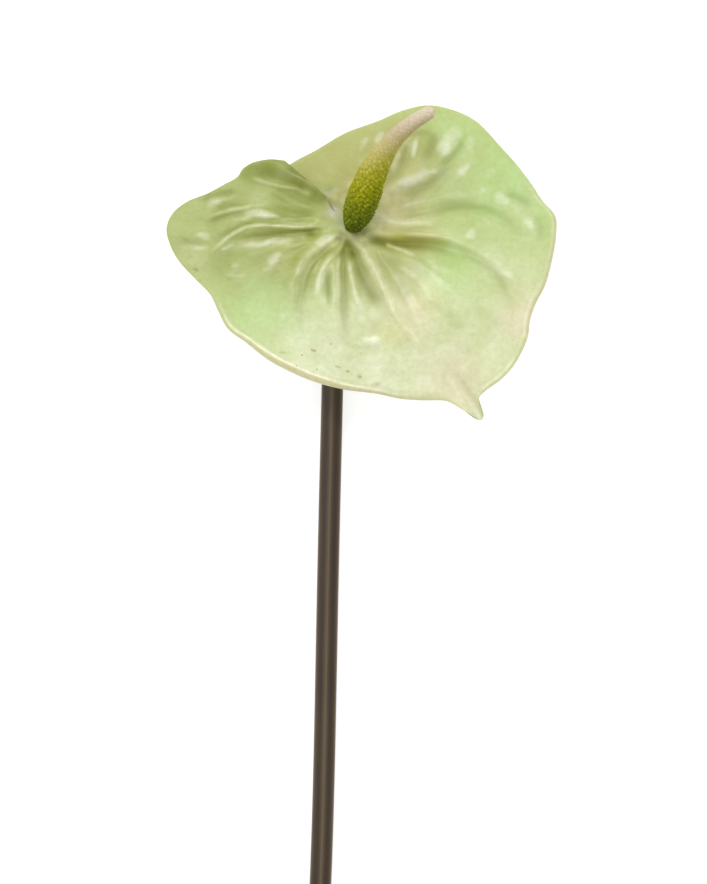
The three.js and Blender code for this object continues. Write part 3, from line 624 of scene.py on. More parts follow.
# %% Relief of the front
FOLDS_BEGIN, FOLDS_END = (4.8, 8.4), (0.5, 2 * RIM_WIDTH)  # from the foot and from the margin
SWELL_BEGINS, SWELL_ENDS = (10, 20), (1, 8)
from_margin = reach - radius
calm = smoothstep(radius, *FOLDS_BEGIN) * smoothstep(from_margin, *FOLDS_END)
folds, valley, crest = fold_relief(x, y)
swell = smoothstep(radius, *SWELL_BEGINS) * smoothstep(from_margin, *SWELL_ENDS)
cushion = cushions(edge_turn[source], radius)
swelling, shine = swellings(x, y)
streaky = swell * (1 - smoothstep(u, *STREAKS_END)) * streaks(edge_turn[source], radius)
relief = calm * (folds + swelling) + swell * CUSHION_HEIGHT * (cushion - 0.5) + STREAK_HEIGHT * streaky
blade = np.stack([x, y, plain_height + relief], axis=1) + FOOT_PLAN
place_corners(spathe, blade * MM)
print("relief from", round(relief.min(), 2), "to", round(relief.max(), 2), "mm")

# %% [markdown]
# ## Numbers for the spathe's colours
# A spathe in this stage is not one colour. Greener flushes lie on the right lobe and on
# the lower left, the lower half is cream, a pink blush follows the midrib and the right
# margin, and the blade turns olive towards the foot. Each is a soft area, listed with its
# place and stored on the corners so that it stays with the leaf.

# %% Soft areas of colour
AREAS = {  # x, y from the foot, reach, strength
    "green": [(49, 12, 19, 1), (30, -14, 12, 0.8), (-31, -25, 13, 0.9), (34, 29, 12, 0.7),
        (23, 5, 9, 0.5), (-14, -22, 6, 0.4), (10, -34, 5, 0.2)],
    "cream": [(-10, -42, 20, 1), (12, -43, 20, 1), (2, -30, 11, 0.5), (44, -40, 15, 0.6),
        (36, -58, 8, 1), (24, -53, 7, 0.5), (31, -40, 9, 0.8), (52, -16, 10, 0.45), (33, -24, 11, 0.65),
        (41, -13, 6, 0.75), (53, -4, 5, 0.35), (30, 17, 5, 0.25)],
    "blush": [(17, -27, 8, 0.8), (51, -29, 8, 0.9), (30, -50, 11, 0.8), (18, 17, 6, 0.2),
        (12, 3, 6, 0.5), (20, -4, 6, 0.3), (-26, -11, 4, 1), (-53, -9, 5, 0.4), (2, -19, 6, 0.2),
        (50, 4, 6, 0.3)],
    "olive": [(-5, -8, 8, 0.6), (9, -14, 9, 0.8), (19, -13, 7, 0.8), (10, -34, 6, 0.95),
        (-2, -15, 7, 0.4), (10, 25, 5, 0.6), (22, 22, 8, 0.8), (10, 17, 8, 1), (19, 15, 6, 0.6),
        (21, -4, 7, 0.65), (-22, -13, 6, 0.5)],
    "beige": [(9, 6, 8, 1), (8, -1, 4, 0.9), (15, 13, 6, 0.35), (-4, 8, 4, 1)],
    "left": [(-43, 3, 18, 0.9), (-30, -6, 15, 1), (-21, -13, 11, 1), (-22, 5, 9, 1),
        (-38, -14, 10, 0.9), (-53, -6, 9, 0.8), (-19, -4, 6, 0.95), (-42, -24, 8, 0.3)],
    "flap": [(-19, 15, 8, 1), (-27, 19, 7, 1), (-33, 18, 6, 0.75), (-13, 9, 5, 0.8), (-10, 8, 2.5, 0.6),
        (-21, -5, 5, 0.2)],
    # painted shade along the left lobe's edge at the sinus
    "flap_edge_shade": [(-20, 16.5, 3, 1), (-16.5, 14, 3, 1), (-13, 11, 2.5, 1), (-10.3, 8.3, 2, 1)],
    "behind": [(-14, 17, 9, 0.85), (-3, 15, 9, 1), (-7, 24, 9, 0.8), (3, 23, 9, 0.8),
        (11, 27, 7, 0.75)],
    "root": [(-7.7, 4, 1.7, 1)],
    # painted light: the blade is lightened round the spadix's base, where it would lie in shade
    "painted_light_halo": [(5.5, 2.5, 3, 0.8), (9, 5, 4.5, 0.65), (13, 7, 5, 0.45), (4.6, -0.4, 1.6, 0.9),
        (7.5, 2, 1.6, 1), (4.8, 2.2, 1.6, 1), (-8.2, -5.6, 1.8, 0.6), (-4.2, 7.8, 2.4, 1),
        (-1.4, 11.4, 2.2, 0.6), (-7, 8, 1.4, 0.8), (20, 6, 6, 0.3), (-11.5, 3.6, 3.5, 0.2)],
    # painted shadow: the spadix's contact shadow round its base
    "socket": [(-0.6, -3.9, 2, 1), (1.6, -3.4, 1.8, 0.9), (-5.3, 0.8, 2, 0.8), (-5.2, -4.2, 1.8, 0.8),
        (-3, -4.8, 1.8, 0.6), (3.8, -3.8, 1.8, 0.7), (1.8, -6, 1.6, 0.4)],
    # painted shade: the right lobe darkened where it slips under the left lobe
    "tuck_shade": [(-8.7, 10.5, 1.5, 0.6)],
    "ochre": [(12, -5, 3.2, 0.85), (10, -3, 3, 0.35), (15, -4.8, 3.5, 0.95), (19.5, -4.8, 4, 0.9),
        (24, -5.5, 4, 0.65), (15, -11, 2.5, 0.4), (-19.5, -6.5, 8, 0.42), (10, -34, 5, 0.45),
        (20, -24, 6, 0.2), (30, -14, 6, 0.2)],
}
LEFT_LOBE_ONLY, RIGHT_LOBE_ONLY = ("flap", "flap_edge_shade", "left"), ("behind", "tuck_shade")
LEFT_ENDS, RIGHT_BEGINS = (0.4, 0.55), (0.6, 0.75)  # shares of the margin


def round_spot(spot_x, spot_y, wide):
    return np.exp(-(((x - spot_x) ** 2 + (y - spot_y) ** 2) / wide**2))


for name, spots in AREAS.items():
    strength = np.max([amount * round_spot(*spot) for *spot, amount in spots], axis=0)
    if name in LEFT_LOBE_ONLY:
        strength = strength * (1 - smoothstep(u, *LEFT_ENDS))
    if name in RIGHT_LOBE_ONLY:
        strength = strength * smoothstep(u, *RIGHT_BEGINS)
    paint(spathe, name, strength)
    print(name, "covers", round(float((strength > 0.5).mean()), 2), "of the corners")

# %% Margin with its painted highlight, worn places and relief as numbers
CREAMY_SIDES = [(-105, 75, 1), (-15, 50, 0.6)]  # middle and reach in degrees, strength
BROAD_BAND, NARROW_BAND = 2.2, 1.3  # the margin's band is broad round one middle, in degrees
BROAD_MIDDLE, BROAD_REACH = -112, 60
# Along the rolled margin a painted highlight marks the roll's crest; the band outside it is partly the
# margin's own cream and partly painted shade where it rolls over.
ROLL_HIGHLIGHTS = [(-112, 48, 1), (-12, 36, 0.35), (-47, 9, 0.6)]
ROLL_HIGHLIGHT_WIDTH = 0.35
WORN = [(-14, -42, 8), (0, -46, 7), (-51, -14, 6), (52, -35, 5)]
FLESHY = (8, 34)  # distances from the foot between which the blade gets glossy

degrees = np.degrees(edge_turn[source])
creamy = np.max([most * angle_hump(degrees, middle, wide) for middle, wide, most in CREAMY_SIDES], axis=0)
band = np.maximum(BROAD_BAND * angle_hump(degrees, BROAD_MIDDLE, BROAD_REACH), NARROW_BAND)
roll_highlight = np.max([
    most * smoothstep(angle_hump(degrees, middle, wide), 0, 0.5) for middle, wide, most in ROLL_HIGHLIGHTS
], axis=0)
for name, values in {
    "valley": valley, "crest": crest, "shine": shine,
    "border": swell * (1 - cushion), "top": swell * cushion,
    "margin": lerp(0.15, 1, creamy) * (1 - smoothstep(from_margin / band, 0.6, 1.4)),
    "roll_highlight": roll_highlight * np.exp(-(((from_margin - band) / ROLL_HIGHLIGHT_WIDTH) ** 2)),
    "worn": sum(round_spot(*spot) for spot in WORN),
    "dull": np.clip(0.5 * (1 - smoothstep(radius, *FLESHY)) + valley, 0, 1),
}.items():
    paint(spathe, name, values)
print("creamiest margin", round(float(creamy.max()), 2))

# %% Weld the seam and turn the front up
SAME_PLACE = 0.000004


def weld_blade():
    bpy.ops.mesh.remove_doubles(threshold=SAME_PLACE)
    bpy.ops.mesh.flip_normals()


edit(spathe, weld_blade)
mean_up = np.mean([face.normal.z for face in spathe.data.polygons])
print("the front faces", "up" if mean_up > 0 else "down", round(float(mean_up), 2))

# %% Give the blade its thickness
FOOT_THICKNESS, BLADE_THICKNESS = 1.8, 0.9
THINNING = (6, 17)  # distances from the foot

welded = corner_places(spathe) / MM - FOOT
thinned = smoothstep(np.hypot(welded[:, 0], welded[:, 1]), *THINNING)
thickness = lerp(FOOT_THICKNESS, BLADE_THICKNESS, thinned)
thick = spathe.vertex_groups.new(name="thick")
for index, share in enumerate((thickness - BLADE_THICKNESS) / (FOOT_THICKNESS - BLADE_THICKNESS)):
    thick.add([index], float(share), "REPLACE")
new_materials(spathe, "spathe_front", "spathe_back", "spathe_rim")
solidify = spathe.modifiers.new("thickness", "SOLIDIFY")
solidify.thickness = FOOT_THICKNESS * MM
solidify.offset = -1
solidify.vertex_group = thick.name
solidify.thickness_vertex_group = BLADE_THICKNESS / FOOT_THICKNESS
solidify.material_offset = 1
solidify.material_offset_rim = 2
apply_modifiers(spathe)
spathe.vertex_groups.clear()
print("spathe", len(spathe.data.polygons), "faces")

# %% Round the cut edge
RIM_BEVEL = 0.28


def round_rim():
    """Bevels the edges between the rim's faces, whose material is the third, and the others."""
    mesh = bmesh.from_edit_mesh(spathe.data)
    for edge in mesh.edges:
        edge.select = False
    for edge in mesh.edges:
        kinds = {face.material_index for face in edge.link_faces}
        edge.select = 2 in kinds and len(kinds) == 2
    mesh.select_flush_mode()
    bmesh.update_edit_mesh(spathe.data)
    bpy.ops.mesh.bevel(offset=RIM_BEVEL * MM, segments=2, affect="EDGES", clamp_overlap=True)


edit(spathe, round_rim)
smooth_shading(spathe)
print("spathe", triangles(spathe), "triangles")

# %% [markdown]
# ## Material tools
# A node tree is easier to read as a list of wired steps. Most steps lay one colour over
# another where a number stored on the corners is high. Colours are written as the eye reads
# them, 0 to 255, and turned into the linear values that the shader wants.

# %% Material helpers
def tint(red, green, blue):
    """A colour as read on a screen, made linear."""
    values = np.array([red, green, blue]) / 255
    linear = np.where(values <= 0.04045, values / 12.92, ((values + 0.055) / 1.055) ** 2.4)
    return (*map(float, linear), 1.0)


class Wiring:
    """A material's node tree with short ways to add and join its nodes."""

    def __init__(self, piece, name):
        material = piece.data.materials[name]
        material.use_nodes = True
        self.tree = material.node_tree
        self.tree.nodes.clear()
        self.shader = self.add("ShaderNodeBsdfPrincipled", {})
        self.add("ShaderNodeOutputMaterial", {"Surface": self.shader.outputs["BSDF"]})

    def add(self, kind, sockets, **settings):
        """A new node with its settings made and its sockets fed, by their names or numbers."""
        node = self.tree.nodes.new(kind)
        for name, value in settings.items():
            setattr(node, name, value)
        for name, value in sockets.items():
            self.feed(node.inputs[name], value)
        return node

    def feed(self, socket, value):
        if isinstance(value, bpy.types.NodeSocket):
            self.tree.links.new(value, socket)
        else:
            socket.default_value = value

    def attribute(self, name):
        return self.add("ShaderNodeAttribute", {}, attribute_name=name).outputs["Fac"]

    def place(self, stretch=(1, 1, 1)):
        """Object coordinates, stretched along the axes."""
        here = self.add("ShaderNodeTexCoord", {}).outputs["Object"]
        return self.add("ShaderNodeMapping", {"Vector": here, "Scale": stretch}).outputs["Vector"]

    def smudge(self, x, y, long, wide, direction):
        """1 in the middle of a small oval on the blade and 0 outside it, all in millimetres."""
        oval = self.add("ShaderNodeMapping", {
            "Vector": self.add("ShaderNodeTexCoord", {}).outputs["Object"],
            "Location": ((FOOT[0] + x) * MM, (FOOT[1] + y) * MM, 0),
            "Rotation": (0, 0, np.radians(direction)), "Scale": (long * MM, wide * MM, 1),
        }, vector_type="TEXTURE").outputs["Vector"]
        length = self.add("ShaderNodeVectorMath", {0: oval}, operation="LENGTH").outputs["Value"]
        return self.spread(length, 0.2, 1, 1, 0)

    def noise(self, vector, scale, detail):
        sockets = {"Vector": vector, "Scale": scale, "Detail": detail, "Roughness": 0.55}
        return self.add("ShaderNodeTexNoise", sockets).outputs["Fac"]

    def cells(self, vector, scale, feature="F1"):
        sockets = {"Vector": vector, "Scale": scale}
        return self.add("ShaderNodeTexVoronoi", sockets, feature=feature).outputs["Distance"]

    def spread(self, value, low, high, to_low=0, to_high=1):
        """Maps low..high onto to_low..to_high and stays inside."""
        return self.add("ShaderNodeMapRange", {
            "Value": value, "From Min": low, "From Max": high, "To Min": to_low, "To Max": to_high,
        }).outputs["Result"]

    def math(self, kind, first, second):
        return self.add("ShaderNodeMath", {0: first, 1: second}, operation=kind).outputs["Value"]

    def times(self, first, second):
        return self.math("MULTIPLY", first, second)

    def mix(self, share, first, second, blend="MIX"):
        node = self.add("ShaderNodeMix", {"Factor": share}, data_type="RGBA", blend_type=blend)
        colours = [socket for socket in node.inputs if socket.type == "RGBA"]
        self.feed(colours[0], first)
        self.feed(colours[1], second)
        return [socket for socket in node.outputs if socket.type == "RGBA"][0]

    def over(self, colour, shade, value, low=0, high=1, most=1):
        """Lays a shade over a colour as an attribute or another value goes from low to high."""
        value = self.attribute(value) if isinstance(value, str) else value
        return self.mix(self.spread(value, low, high, 0, most), colour, shade)

    def bump(self, height, distance, strength, under=None):
        node = self.add("ShaderNodeBump", {"Strength": strength, "Distance": distance, "Height": height})
        if under is not None:
            self.feed(node.inputs["Normal"], under)
        return node.outputs["Normal"]

    def ramp(self, value, stops):
        node = self.add("ShaderNodeValToRGB", {"Fac": value})
        stripes = node.color_ramp.elements
        for position, shade in stops[1:-1]:
            stripes.new(position).color = shade
        stripes[0].position, stripes[0].color = stops[0]
        stripes[-1].position, stripes[-1].color = stops[-1]
        return node.outputs["Color"]

    def finish(self, **sockets):
        """Sets the shader's sockets: Base_Color=... means the socket Base Color."""
        for name, value in sockets.items():
            self.feed(self.shader.inputs[name.replace("_", " ")], value)


print("mid grey is", round(tint(128, 128, 128)[0], 3), "when linear")

# %% [markdown]
# ## The spathe's front
# The front is a waxy skin: colour comes from inside the leaf, and a clear coat gives the
# wet-looking gloss. The base colour is mixed from the areas stored on the corners, the
# broadest of them broken up by noise so that none has a drawn edge. Some of these layers are
# painted light and shade: shade in the valleys, round the spadix's base and along the left
# lobe's edge, highlights on the crests, the swellings and the rolled margin, and lighter
# patches round the spadix. Fine cells in the bump are the leaf's own skin, and keep the
# highlights from looking like glass.

# %% Colours of the front
PALE_GREEN = tint(178, 191, 118)
FLUSH_GREEN = tint(180, 211, 138)
CREAM = tint(223, 227, 194)
BLUSH = tint(220, 209, 178)
OLIVE = tint(152, 150, 74)
LEFT_GREEN = tint(142, 154, 66)
FLAP_GREEN = tint(122, 134, 22)
VALLEY_GREEN_AND_SHADE = tint(98, 104, 12)
BEHIND_BEIGE = tint(166, 161, 92)
LOBE_VALLEY_GREEN_AND_SHADE = tint(112, 142, 50)
FOOT_BEIGE = tint(212, 204, 146)
PAINTED_SHADE_OLIVE = tint(104, 112, 20)
CREST_AND_HIGHLIGHT_CREAM = tint(218, 216, 174)
ROOT_WHITE = tint(248, 246, 228)
PAINTED_LIGHT_CREAM = tint(230, 226, 164)
PAINTED_SHADOW_OLIVE = tint(120, 118, 62)
OCHRE_FILTER = (0.94, 0.86, 0.38, 1)
PAINTED_HIGHLIGHT_WHITE = tint(232, 236, 214)
MARGIN_CREAM_AND_SHADE = tint(204, 197, 146)
ROLL_HIGHLIGHT_CREAM = tint(250, 248, 220)
SPECK_BROWN = tint(150, 112, 60)
SMUDGE_BROWN = tint(130, 114, 44)

SMUDGES = [  # x, y from the foot, half length, half width, direction in degrees, strength
    (-23.3, -40.2, 1.6, 0.6, -8, 0.4), (-13.7, -39.5, 1.1, 0.6, -30, 0.8),
    (-8.4, -37.6, 0.6, 0.5, 0, 0.5), (-6.2, -44.7, 1.3, 0.5, -20, 0.6), (-3.1, -46.1, 1, 0.6, -25, 0.7),
    (0.4, -47.6, 1.2, 0.7, -45, 0.9), (5.8, -50.1, 2, 1, 5, 0.5), (-50.8, -14, 1.4, 1, -20, 0.8),
]
GROUNDS = [  # area, shade, its most, whether noise breaks it up
    ("olive", OLIVE, 0.85, True), ("cream", CREAM, 0.95, True), ("green", FLUSH_GREEN, 0.95, True),
    ("blush", BLUSH, 0.85, True), ("beige", FOOT_BEIGE, 0.9, True), ("behind", BEHIND_BEIGE, 0.8, False),
    ("left", LEFT_GREEN, 0.88, True), ("flap", FLAP_GREEN, 0.9, False),
    # Painted shade along the left lobe's edge and on the right lobe under it.
    ("flap_edge_shade", PAINTED_SHADE_OLIVE, 0.7, False), ("tuck_shade", PAINTED_SHADE_OLIVE, 0.75, False),
]
OVERLAYS = [  # area, shade, strengths between which it sets in, its most
    ("top", CREAM, 0.3, 1, 0.08), ("border", OLIVE, 0.3, 1, 0.06),
    # the margin's band is partly cream and partly painted shade; the roll's line is a painted highlight
    ("margin", MARGIN_CREAM_AND_SHADE, 0.1, 0.8, 0.8), ("roll_highlight", ROLL_HIGHLIGHT_CREAM, 0, 1, 1),
    # painted light round the spadix's base
    ("painted_light_halo", PAINTED_LIGHT_CREAM, 0, 1, 1),
]
print(len(GROUNDS) + len(OVERLAYS), "layers of colour")

# %% Front material, grounds and veins
front = Wiring(spathe, "spathe_front")
place = front.place()
mottle = front.noise(place, 90, 4)
patch = front.spread(mottle, 0.3, 0.7, 0.55, 1.15)
colour = PALE_GREEN
for name, shade, most, patchy in GROUNDS:
    share = front.attribute(name)
    colour = front.over(colour, shade, front.times(share, patch) if patchy else share, most=most)
fibrous = front.spread(front.noise(front.place((0.22, 1, 1)), 900, 3), 0.42, 0.72)
colour = front.over(colour, FLAP_GREEN, front.times(fibrous, front.attribute("left")), most=0.35)
# The valleys are painted olive: partly the veins' own colour, partly painted shade in the folds.
sunk = front.over(VALLEY_GREEN_AND_SHADE, LOBE_VALLEY_GREEN_AND_SHADE, "green", 0.2, 0.7)
colour = front.over(colour, sunk, "valley", most=0.95)
colour = front.mix(front.attribute("ochre"), colour, OCHRE_FILTER, "MULTIPLY")
for name, shade, low, high, most in OVERLAYS:
    colour = front.over(colour, shade, name, low, high, most)
# The crests and light lines are painted pale: partly the veins' own cream, partly a painted highlight.
uneven = front.spread(front.noise(place, 380, 3), 0.32, 0.62, 0.45, 1)
paleness = front.times(front.spread(front.attribute("crest"), 0.12, 1, 0, 0.8), uneven)
colour = front.mix(paleness, colour, CREST_AND_HIGHLIGHT_CREAM)
# Painted shadow of the spadix round its base.
colour = front.over(colour, PAINTED_SHADOW_OLIVE, "socket", most=0.9)
colour = front.over(colour, ROOT_WHITE, "root")
print("grounds and veins take", len(front.tree.nodes), "nodes")

# %% Front material, painted highlights and skin
# Painted highlights: pale patches over the swellings stand in for the gloss there.
broken = front.spread(front.noise(place, 260, 2), 0.35, 0.6, 0.65, 1)
colour = front.over(colour, PAINTED_HIGHLIGHT_WHITE, front.times(front.attribute("shine"), broken), 0.1, 0.9, 0.55)
colour = front.over(colour, OLIVE, front.noise(place, 600, 4), 0.35, 0.75, 0.24)
speck = front.spread(front.cells(place, 420), 0.10, 0.16, 1, 0)
chosen = front.spread(front.noise(place, 500, 1), 0.52, 0.56)
speck = front.times(front.times(speck, chosen), front.attribute("worn"))
colour = front.mix(front.times(speck, 0.8), colour, SPECK_BROWN)
crumbs = front.noise(place, 1300, 2)
for *oval, strength in SMUDGES:
    smudge = front.times(front.smudge(*oval), front.spread(crumbs, 0.35, 0.6, 0.3, strength))
    colour = front.mix(smudge, colour, SMUDGE_BROWN)
skin = front.bump(front.noise(place, 1500, 2), 0.00005, 0.5)
net = front.cells(place, 420, "DISTANCE_TO_EDGE")
skin = front.bump(front.spread(net, 0, 0.25), 0.00006, 0.5, skin)
dull = front.math("MAXIMUM", front.attribute("dull"), front.attribute("tuck_shade"))
LEAF_FLESH = dict(Subsurface_Radius=(0.6, 0.8, 0.3), Subsurface_Scale=0.001)
front.finish(
    Base_Color=colour, Roughness=front.spread(mottle, 0.3, 0.7, 0.36, 0.48), Normal=skin,
    Specular_IOR_Level=front.spread(dull, 0, 1, 0.5, 0.2), Coat_Weight=front.spread(dull, 0, 1, 0.5, 0.1),
    Coat_Roughness=front.spread(dull, 0, 1, 0.25, 0.42), Subsurface_Weight=0.15, **LEAF_FLESH,
)
print("front", len(front.tree.nodes), "nodes")

# %% [markdown]
# ## The spathe's back and its cut edge
# The back has less wax: it is paler and matter, and its veins stand out as fine ribs. The
# edge shows the thickness of the leaf as a light, slightly translucent line.

# %% Back and rim materials
BACK_GREEN, BACK_SHADE = tint(196, 206, 156), tint(182, 196, 140)
BACK_VEIN = tint(212, 216, 170)
RIM_CREAM, RIM_OLIVE = tint(196, 192, 140), tint(168, 162, 106)

back = Wiring(spathe, "spathe_back")
place = back.place()
mottle = back.noise(place, 120, 4)
net = back.cells(place, 300, "DISTANCE_TO_EDGE")
colour = back.over(BACK_GREEN, BACK_SHADE, mottle, 0.3, 0.7)
colour = back.over(colour, BACK_VEIN, "valley", 0.1, 0.9, 0.8)
colour = back.over(colour, FLUSH_GREEN, "green", 0.2, 1, 0.35)
colour = back.over(colour, BACK_VEIN, net, 0.12, 0, 0.35)
back.finish(
    Base_Color=colour, Roughness=back.spread(mottle, 0.3, 0.7, 0.5, 0.62),
    Normal=back.bump(back.spread(net, 0, 0.2, 1, 0), 0.0001, 0.6),
    Coat_Weight=0.1, Coat_Roughness=0.4, Subsurface_Weight=0.1, **LEAF_FLESH,
)

rim = Wiring(spathe, "spathe_rim")
mottle = rim.noise(rim.place(), 200, 3)
rim.finish(
    Base_Color=rim.mix(mottle, RIM_CREAM, RIM_OLIVE), Roughness=rim.spread(mottle, 0.3, 0.7, 0.35, 0.5),
    Coat_Weight=0.3, Coat_Roughness=0.2,
)
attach(spathe, "root")
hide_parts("spathe")
print("spathe materials", [material.name for material in spathe.data.materials])

# %% [markdown]
# ## Rods along a course
# The stem and the core of the spadix are both rods. A rod starts as a circle that is
# extruded once for each section, which gives the faces their order; then every ring is
# laid at its own place, so that the rod can bend, taper and carry ribs. Numbers for its
# colours, one for each ring, each side or both, are stored in the same step.

# %% Extrude a circle into a rod
def make_rod(name, rings, start_middle, end_middle, **painted):
    """A closed rod through rings of places in millimetres, each an array of corners."""
    sides = len(rings[0])
    rod = start_from(bpy.ops.mesh.primitive_circle_add, name, vertices=sides, radius=MM)

    def extrude():
        for _ in rings[1:]:
            bpy.ops.mesh.extrude_edges_move(TRANSFORM_OT_translate={"value": (0, 0, MM)})

    edit(rod, extrude)
    corners = corner_places(rod)
    ring_of = np.rint(corners[:, 2] / MM).astype(int)
    turn = np.arctan2(corners[:, 1], corners[:, 0])
    side_of = np.rint(turn / (2 * np.pi) * sides).astype(int) % sides
    place_corners(rod, np.asarray(rings)[ring_of, side_of] * MM)
    close_rod(rod, start_middle, end_middle)
    for number, values in painted.items():
        values = np.broadcast_to(values, (len(rings), sides))
        paint(rod, number, np.append(values[ring_of, side_of], values[[0, -1], 0]))
    sort_mesh(rod)
    return rod


def close_rod(rod, *middles):
    """Closes both open ends round a middle place and points every face outwards."""
    mesh = bmesh.new()
    mesh.from_mesh(rod.data)
    open_edges = [edge for edge in mesh.edges if edge.is_boundary]
    start, end = (Vector(np.asarray(middle) * MM) for middle in middles)
    for middle, other in ((start, end), (end, start)):
        centre = mesh.verts.new(middle)
        for edge in open_edges:
            halfway = (edge.verts[0].co + edge.verts[1].co) / 2
            if (halfway - middle).length < (halfway - other).length:
                mesh.faces.new((*edge.verts, centre))
    bmesh.ops.recalc_face_normals(mesh, faces=mesh.faces)
    mesh.to_mesh(rod.data)
    mesh.free()


def cross_directions(direction):
    """Sideways and upward directions square to a rod's direction."""
    sideways = np.cross((0, 0, 1), direction)
    sideways = sideways / np.linalg.norm(sideways)
    return sideways, np.cross(direction, sideways)


def lengths_along(places):
    """How far along a course each of its places is."""
    return np.concatenate([[0], np.cumsum(np.linalg.norm(np.diff(places, axis=0), axis=1))])


print("across a rod that lies along y:", *cross_directions(np.array([0, 1, 0])))

# %% [markdown]
# ## The stem
# The stem rests on the table along a narrow flat, bows a little sideways and lifts at its
# neck to carry the spathe's foot. Six low ribs run along it with a groove between each pair,
# painted in shade.

# %% Course of the stem
STEM_RADIUS, STEM_END_RADIUS, NECK_RADIUS = 3.68, 3.84, 3.9
END_TAPER, NECK_SWELLING = (0, 0.35), (0.55, 1)  # over these shares of the stem and of the neck
STEM_AXIS_HEIGHT = 3.12
STEM_END = (-19.4, -336)
NECK_START = (-7.8, -38)
STEM_LEAN = 0.0234
STEM_BEND = 1.25  # above 1, the stem leans more towards its cut end
STEM_BOW = 3.2
NECK_ELEVATION, NECK_AZIMUTH = np.radians(47), np.radians(70)
NECK_PULL_START, NECK_PULL_END = 19, 13
NECK_SLANT = 4 / 14  # the last share of the neck, over which its rings turn parallel to the foot
STEM_SECTIONS, NECK_SECTIONS = 56, 42

stem_top = FOOT * (0, 0, 1) - FOOT_NORMAL * (FOOT_THICKNESS + PIECE_GAP)
lift = np.array([
    np.cos(NECK_ELEVATION) * np.cos(NECK_AZIMUTH),
    np.cos(NECK_ELEVATION) * np.sin(NECK_AZIMUTH),
    np.sin(NECK_ELEVATION),
])
along_stem = np.array([STEM_LEAN, 1, 0]) / np.hypot(STEM_LEAN, 1)
neck_start = np.array([*NECK_START, STEM_AXIS_HEIGHT])
pulls = np.array([
    neck_start, neck_start + along_stem * NECK_PULL_START, stem_top - lift * NECK_PULL_END, stem_top,
])
print("the neck starts at", neck_start, "and ends at", stem_top.round(2))

# %% Stations along the stem
stations = []
for part in np.arange(STEM_SECTIONS) / STEM_SECTIONS:
    bow = STEM_BOW * np.sin(part * np.pi) ** 2 * (1 - part)
    aside = lerp(STEM_END[0], NECK_START[0], 1 - (1 - part) ** STEM_BEND) + bow
    place = np.array([aside, lerp(STEM_END[1], NECK_START[1], part), STEM_AXIS_HEIGHT])
    stem_radius = lerp(STEM_END_RADIUS, STEM_RADIUS, smoothstep(part, *END_TAPER))
    stations.append((place, along_stem, stem_radius, 0))
for part in np.arange(NECK_SECTIONS + 1) / NECK_SECTIONS:
    rest = 1 - part
    weights = np.array([rest**3, 3 * rest**2 * part, 3 * rest * part**2, part**3])
    slopes = 3 * np.array([-(rest**2), rest**2 - 2 * rest * part, 2 * rest * part - part**2, part**2])
    direction = slopes @ pulls / np.linalg.norm(slopes @ pulls)
    stem_radius = lerp(STEM_RADIUS, NECK_RADIUS, smoothstep(part, *NECK_SWELLING))
    slant = 1 - smoothstep(rest, 0, NECK_SLANT)
    stations.append((weights @ pulls, direction, stem_radius, slant))
print(len(stations), "stations along the stem")

# %% Ribbed rings
STEM_SIDES = 72
STEM_RIBS = 6
RIB_DEPTH = 0.32

angles = 2 * np.pi * np.arange(STEM_SIDES) / STEM_SIDES
groove = 0.5 - 0.5 * np.cos(STEM_RIBS * (angles + np.pi / 2))
stem_rings = []
for place, direction, stem_radius, slant in stations:
    sideways, upward = cross_directions(direction)
    ribbed = (stem_radius - RIB_DEPTH * groove)[:, None]
    out = ribbed * (np.cos(angles)[:, None] * sideways + np.sin(angles)[:, None] * upward)
    slide = -(out @ FOOT_NORMAL) / (direction @ FOOT_NORMAL) if slant else np.zeros(STEM_SIDES)
    ring = place + out + slant * slide[:, None] * direction
    ring[:, 2] = np.maximum(ring[:, 2], 0)
    stem_rings.append(ring + FOOT_PLAN)
length_to = lengths_along(np.mean(stem_rings, axis=1))
stem = make_rod(
    "stem_rod", stem_rings, stations[0][0] + FOOT_PLAN, stem_top + FOOT_PLAN,
    groove=groove, flank=np.abs(np.cos(angles)), along=length_to[:, None] / length_to[-1],
)
print("stem", len(stem.data.polygons), "faces, rises to", corner_places(stem)[:, 2].max().round(5), "m")

# %% [markdown]
# ## The stem's finish
# The skin is a satin brown, reddish towards the head and more olive further down, with
# faint streaks along it. A painted highlight lies on each rib, a painted reflection along both
# flanks and painted shade in the grooves. The cut end shows pale pith with the ends of its fibres.

# %% Stem materials
STEM_OLIVE, STEM_RED = tint(73, 59, 28), tint(71, 49, 34)
STREAK_BROWN, MOTTLE_OLIVE = tint(50, 36, 20), tint(80, 70, 42)
GROOVE_SHADE_BROWN, RIB_HIGHLIGHT_BEIGE, FLANK_REFLECTION_BEIGE = tint(28, 18, 8), tint(98, 84, 66), tint(118, 104, 82)
PITH_CREAM, FIBRE_OLIVE = tint(196, 196, 142), tint(120, 116, 70)

new_materials(stem, "stem_skin", "stem_pith")
cut_end = stem_rings[0][:, 1].max() * MM + 1e-5
for face in stem.data.polygons:
    cut = face.normal.y < -0.9 and face.center.y < cut_end
    face.material_index = int(cut)
    face.use_smooth = not cut

skin = Wiring(stem, "stem_skin")
grain = skin.noise(skin.place((1, 0.03, 1)), 1400, 3)
mottle = skin.noise(skin.place((1, 0.3, 1)), 160, 3)
colour = skin.over(STEM_OLIVE, STEM_RED, "along")
colour = skin.over(colour, STREAK_BROWN, grain, 0.3, 0.7, 0.5)
colour = skin.over(colour, MOTTLE_OLIVE, mottle, 0.35, 0.7, 0.35)
# Painted shade in the grooves.
colour = skin.over(colour, GROOVE_SHADE_BROWN, "groove", 0.3, 0.9, 0.6)
# Painted highlight on each rib.
colour = skin.over(colour, RIB_HIGHLIGHT_BEIGE, "groove", 0.16, 0, 0.8)
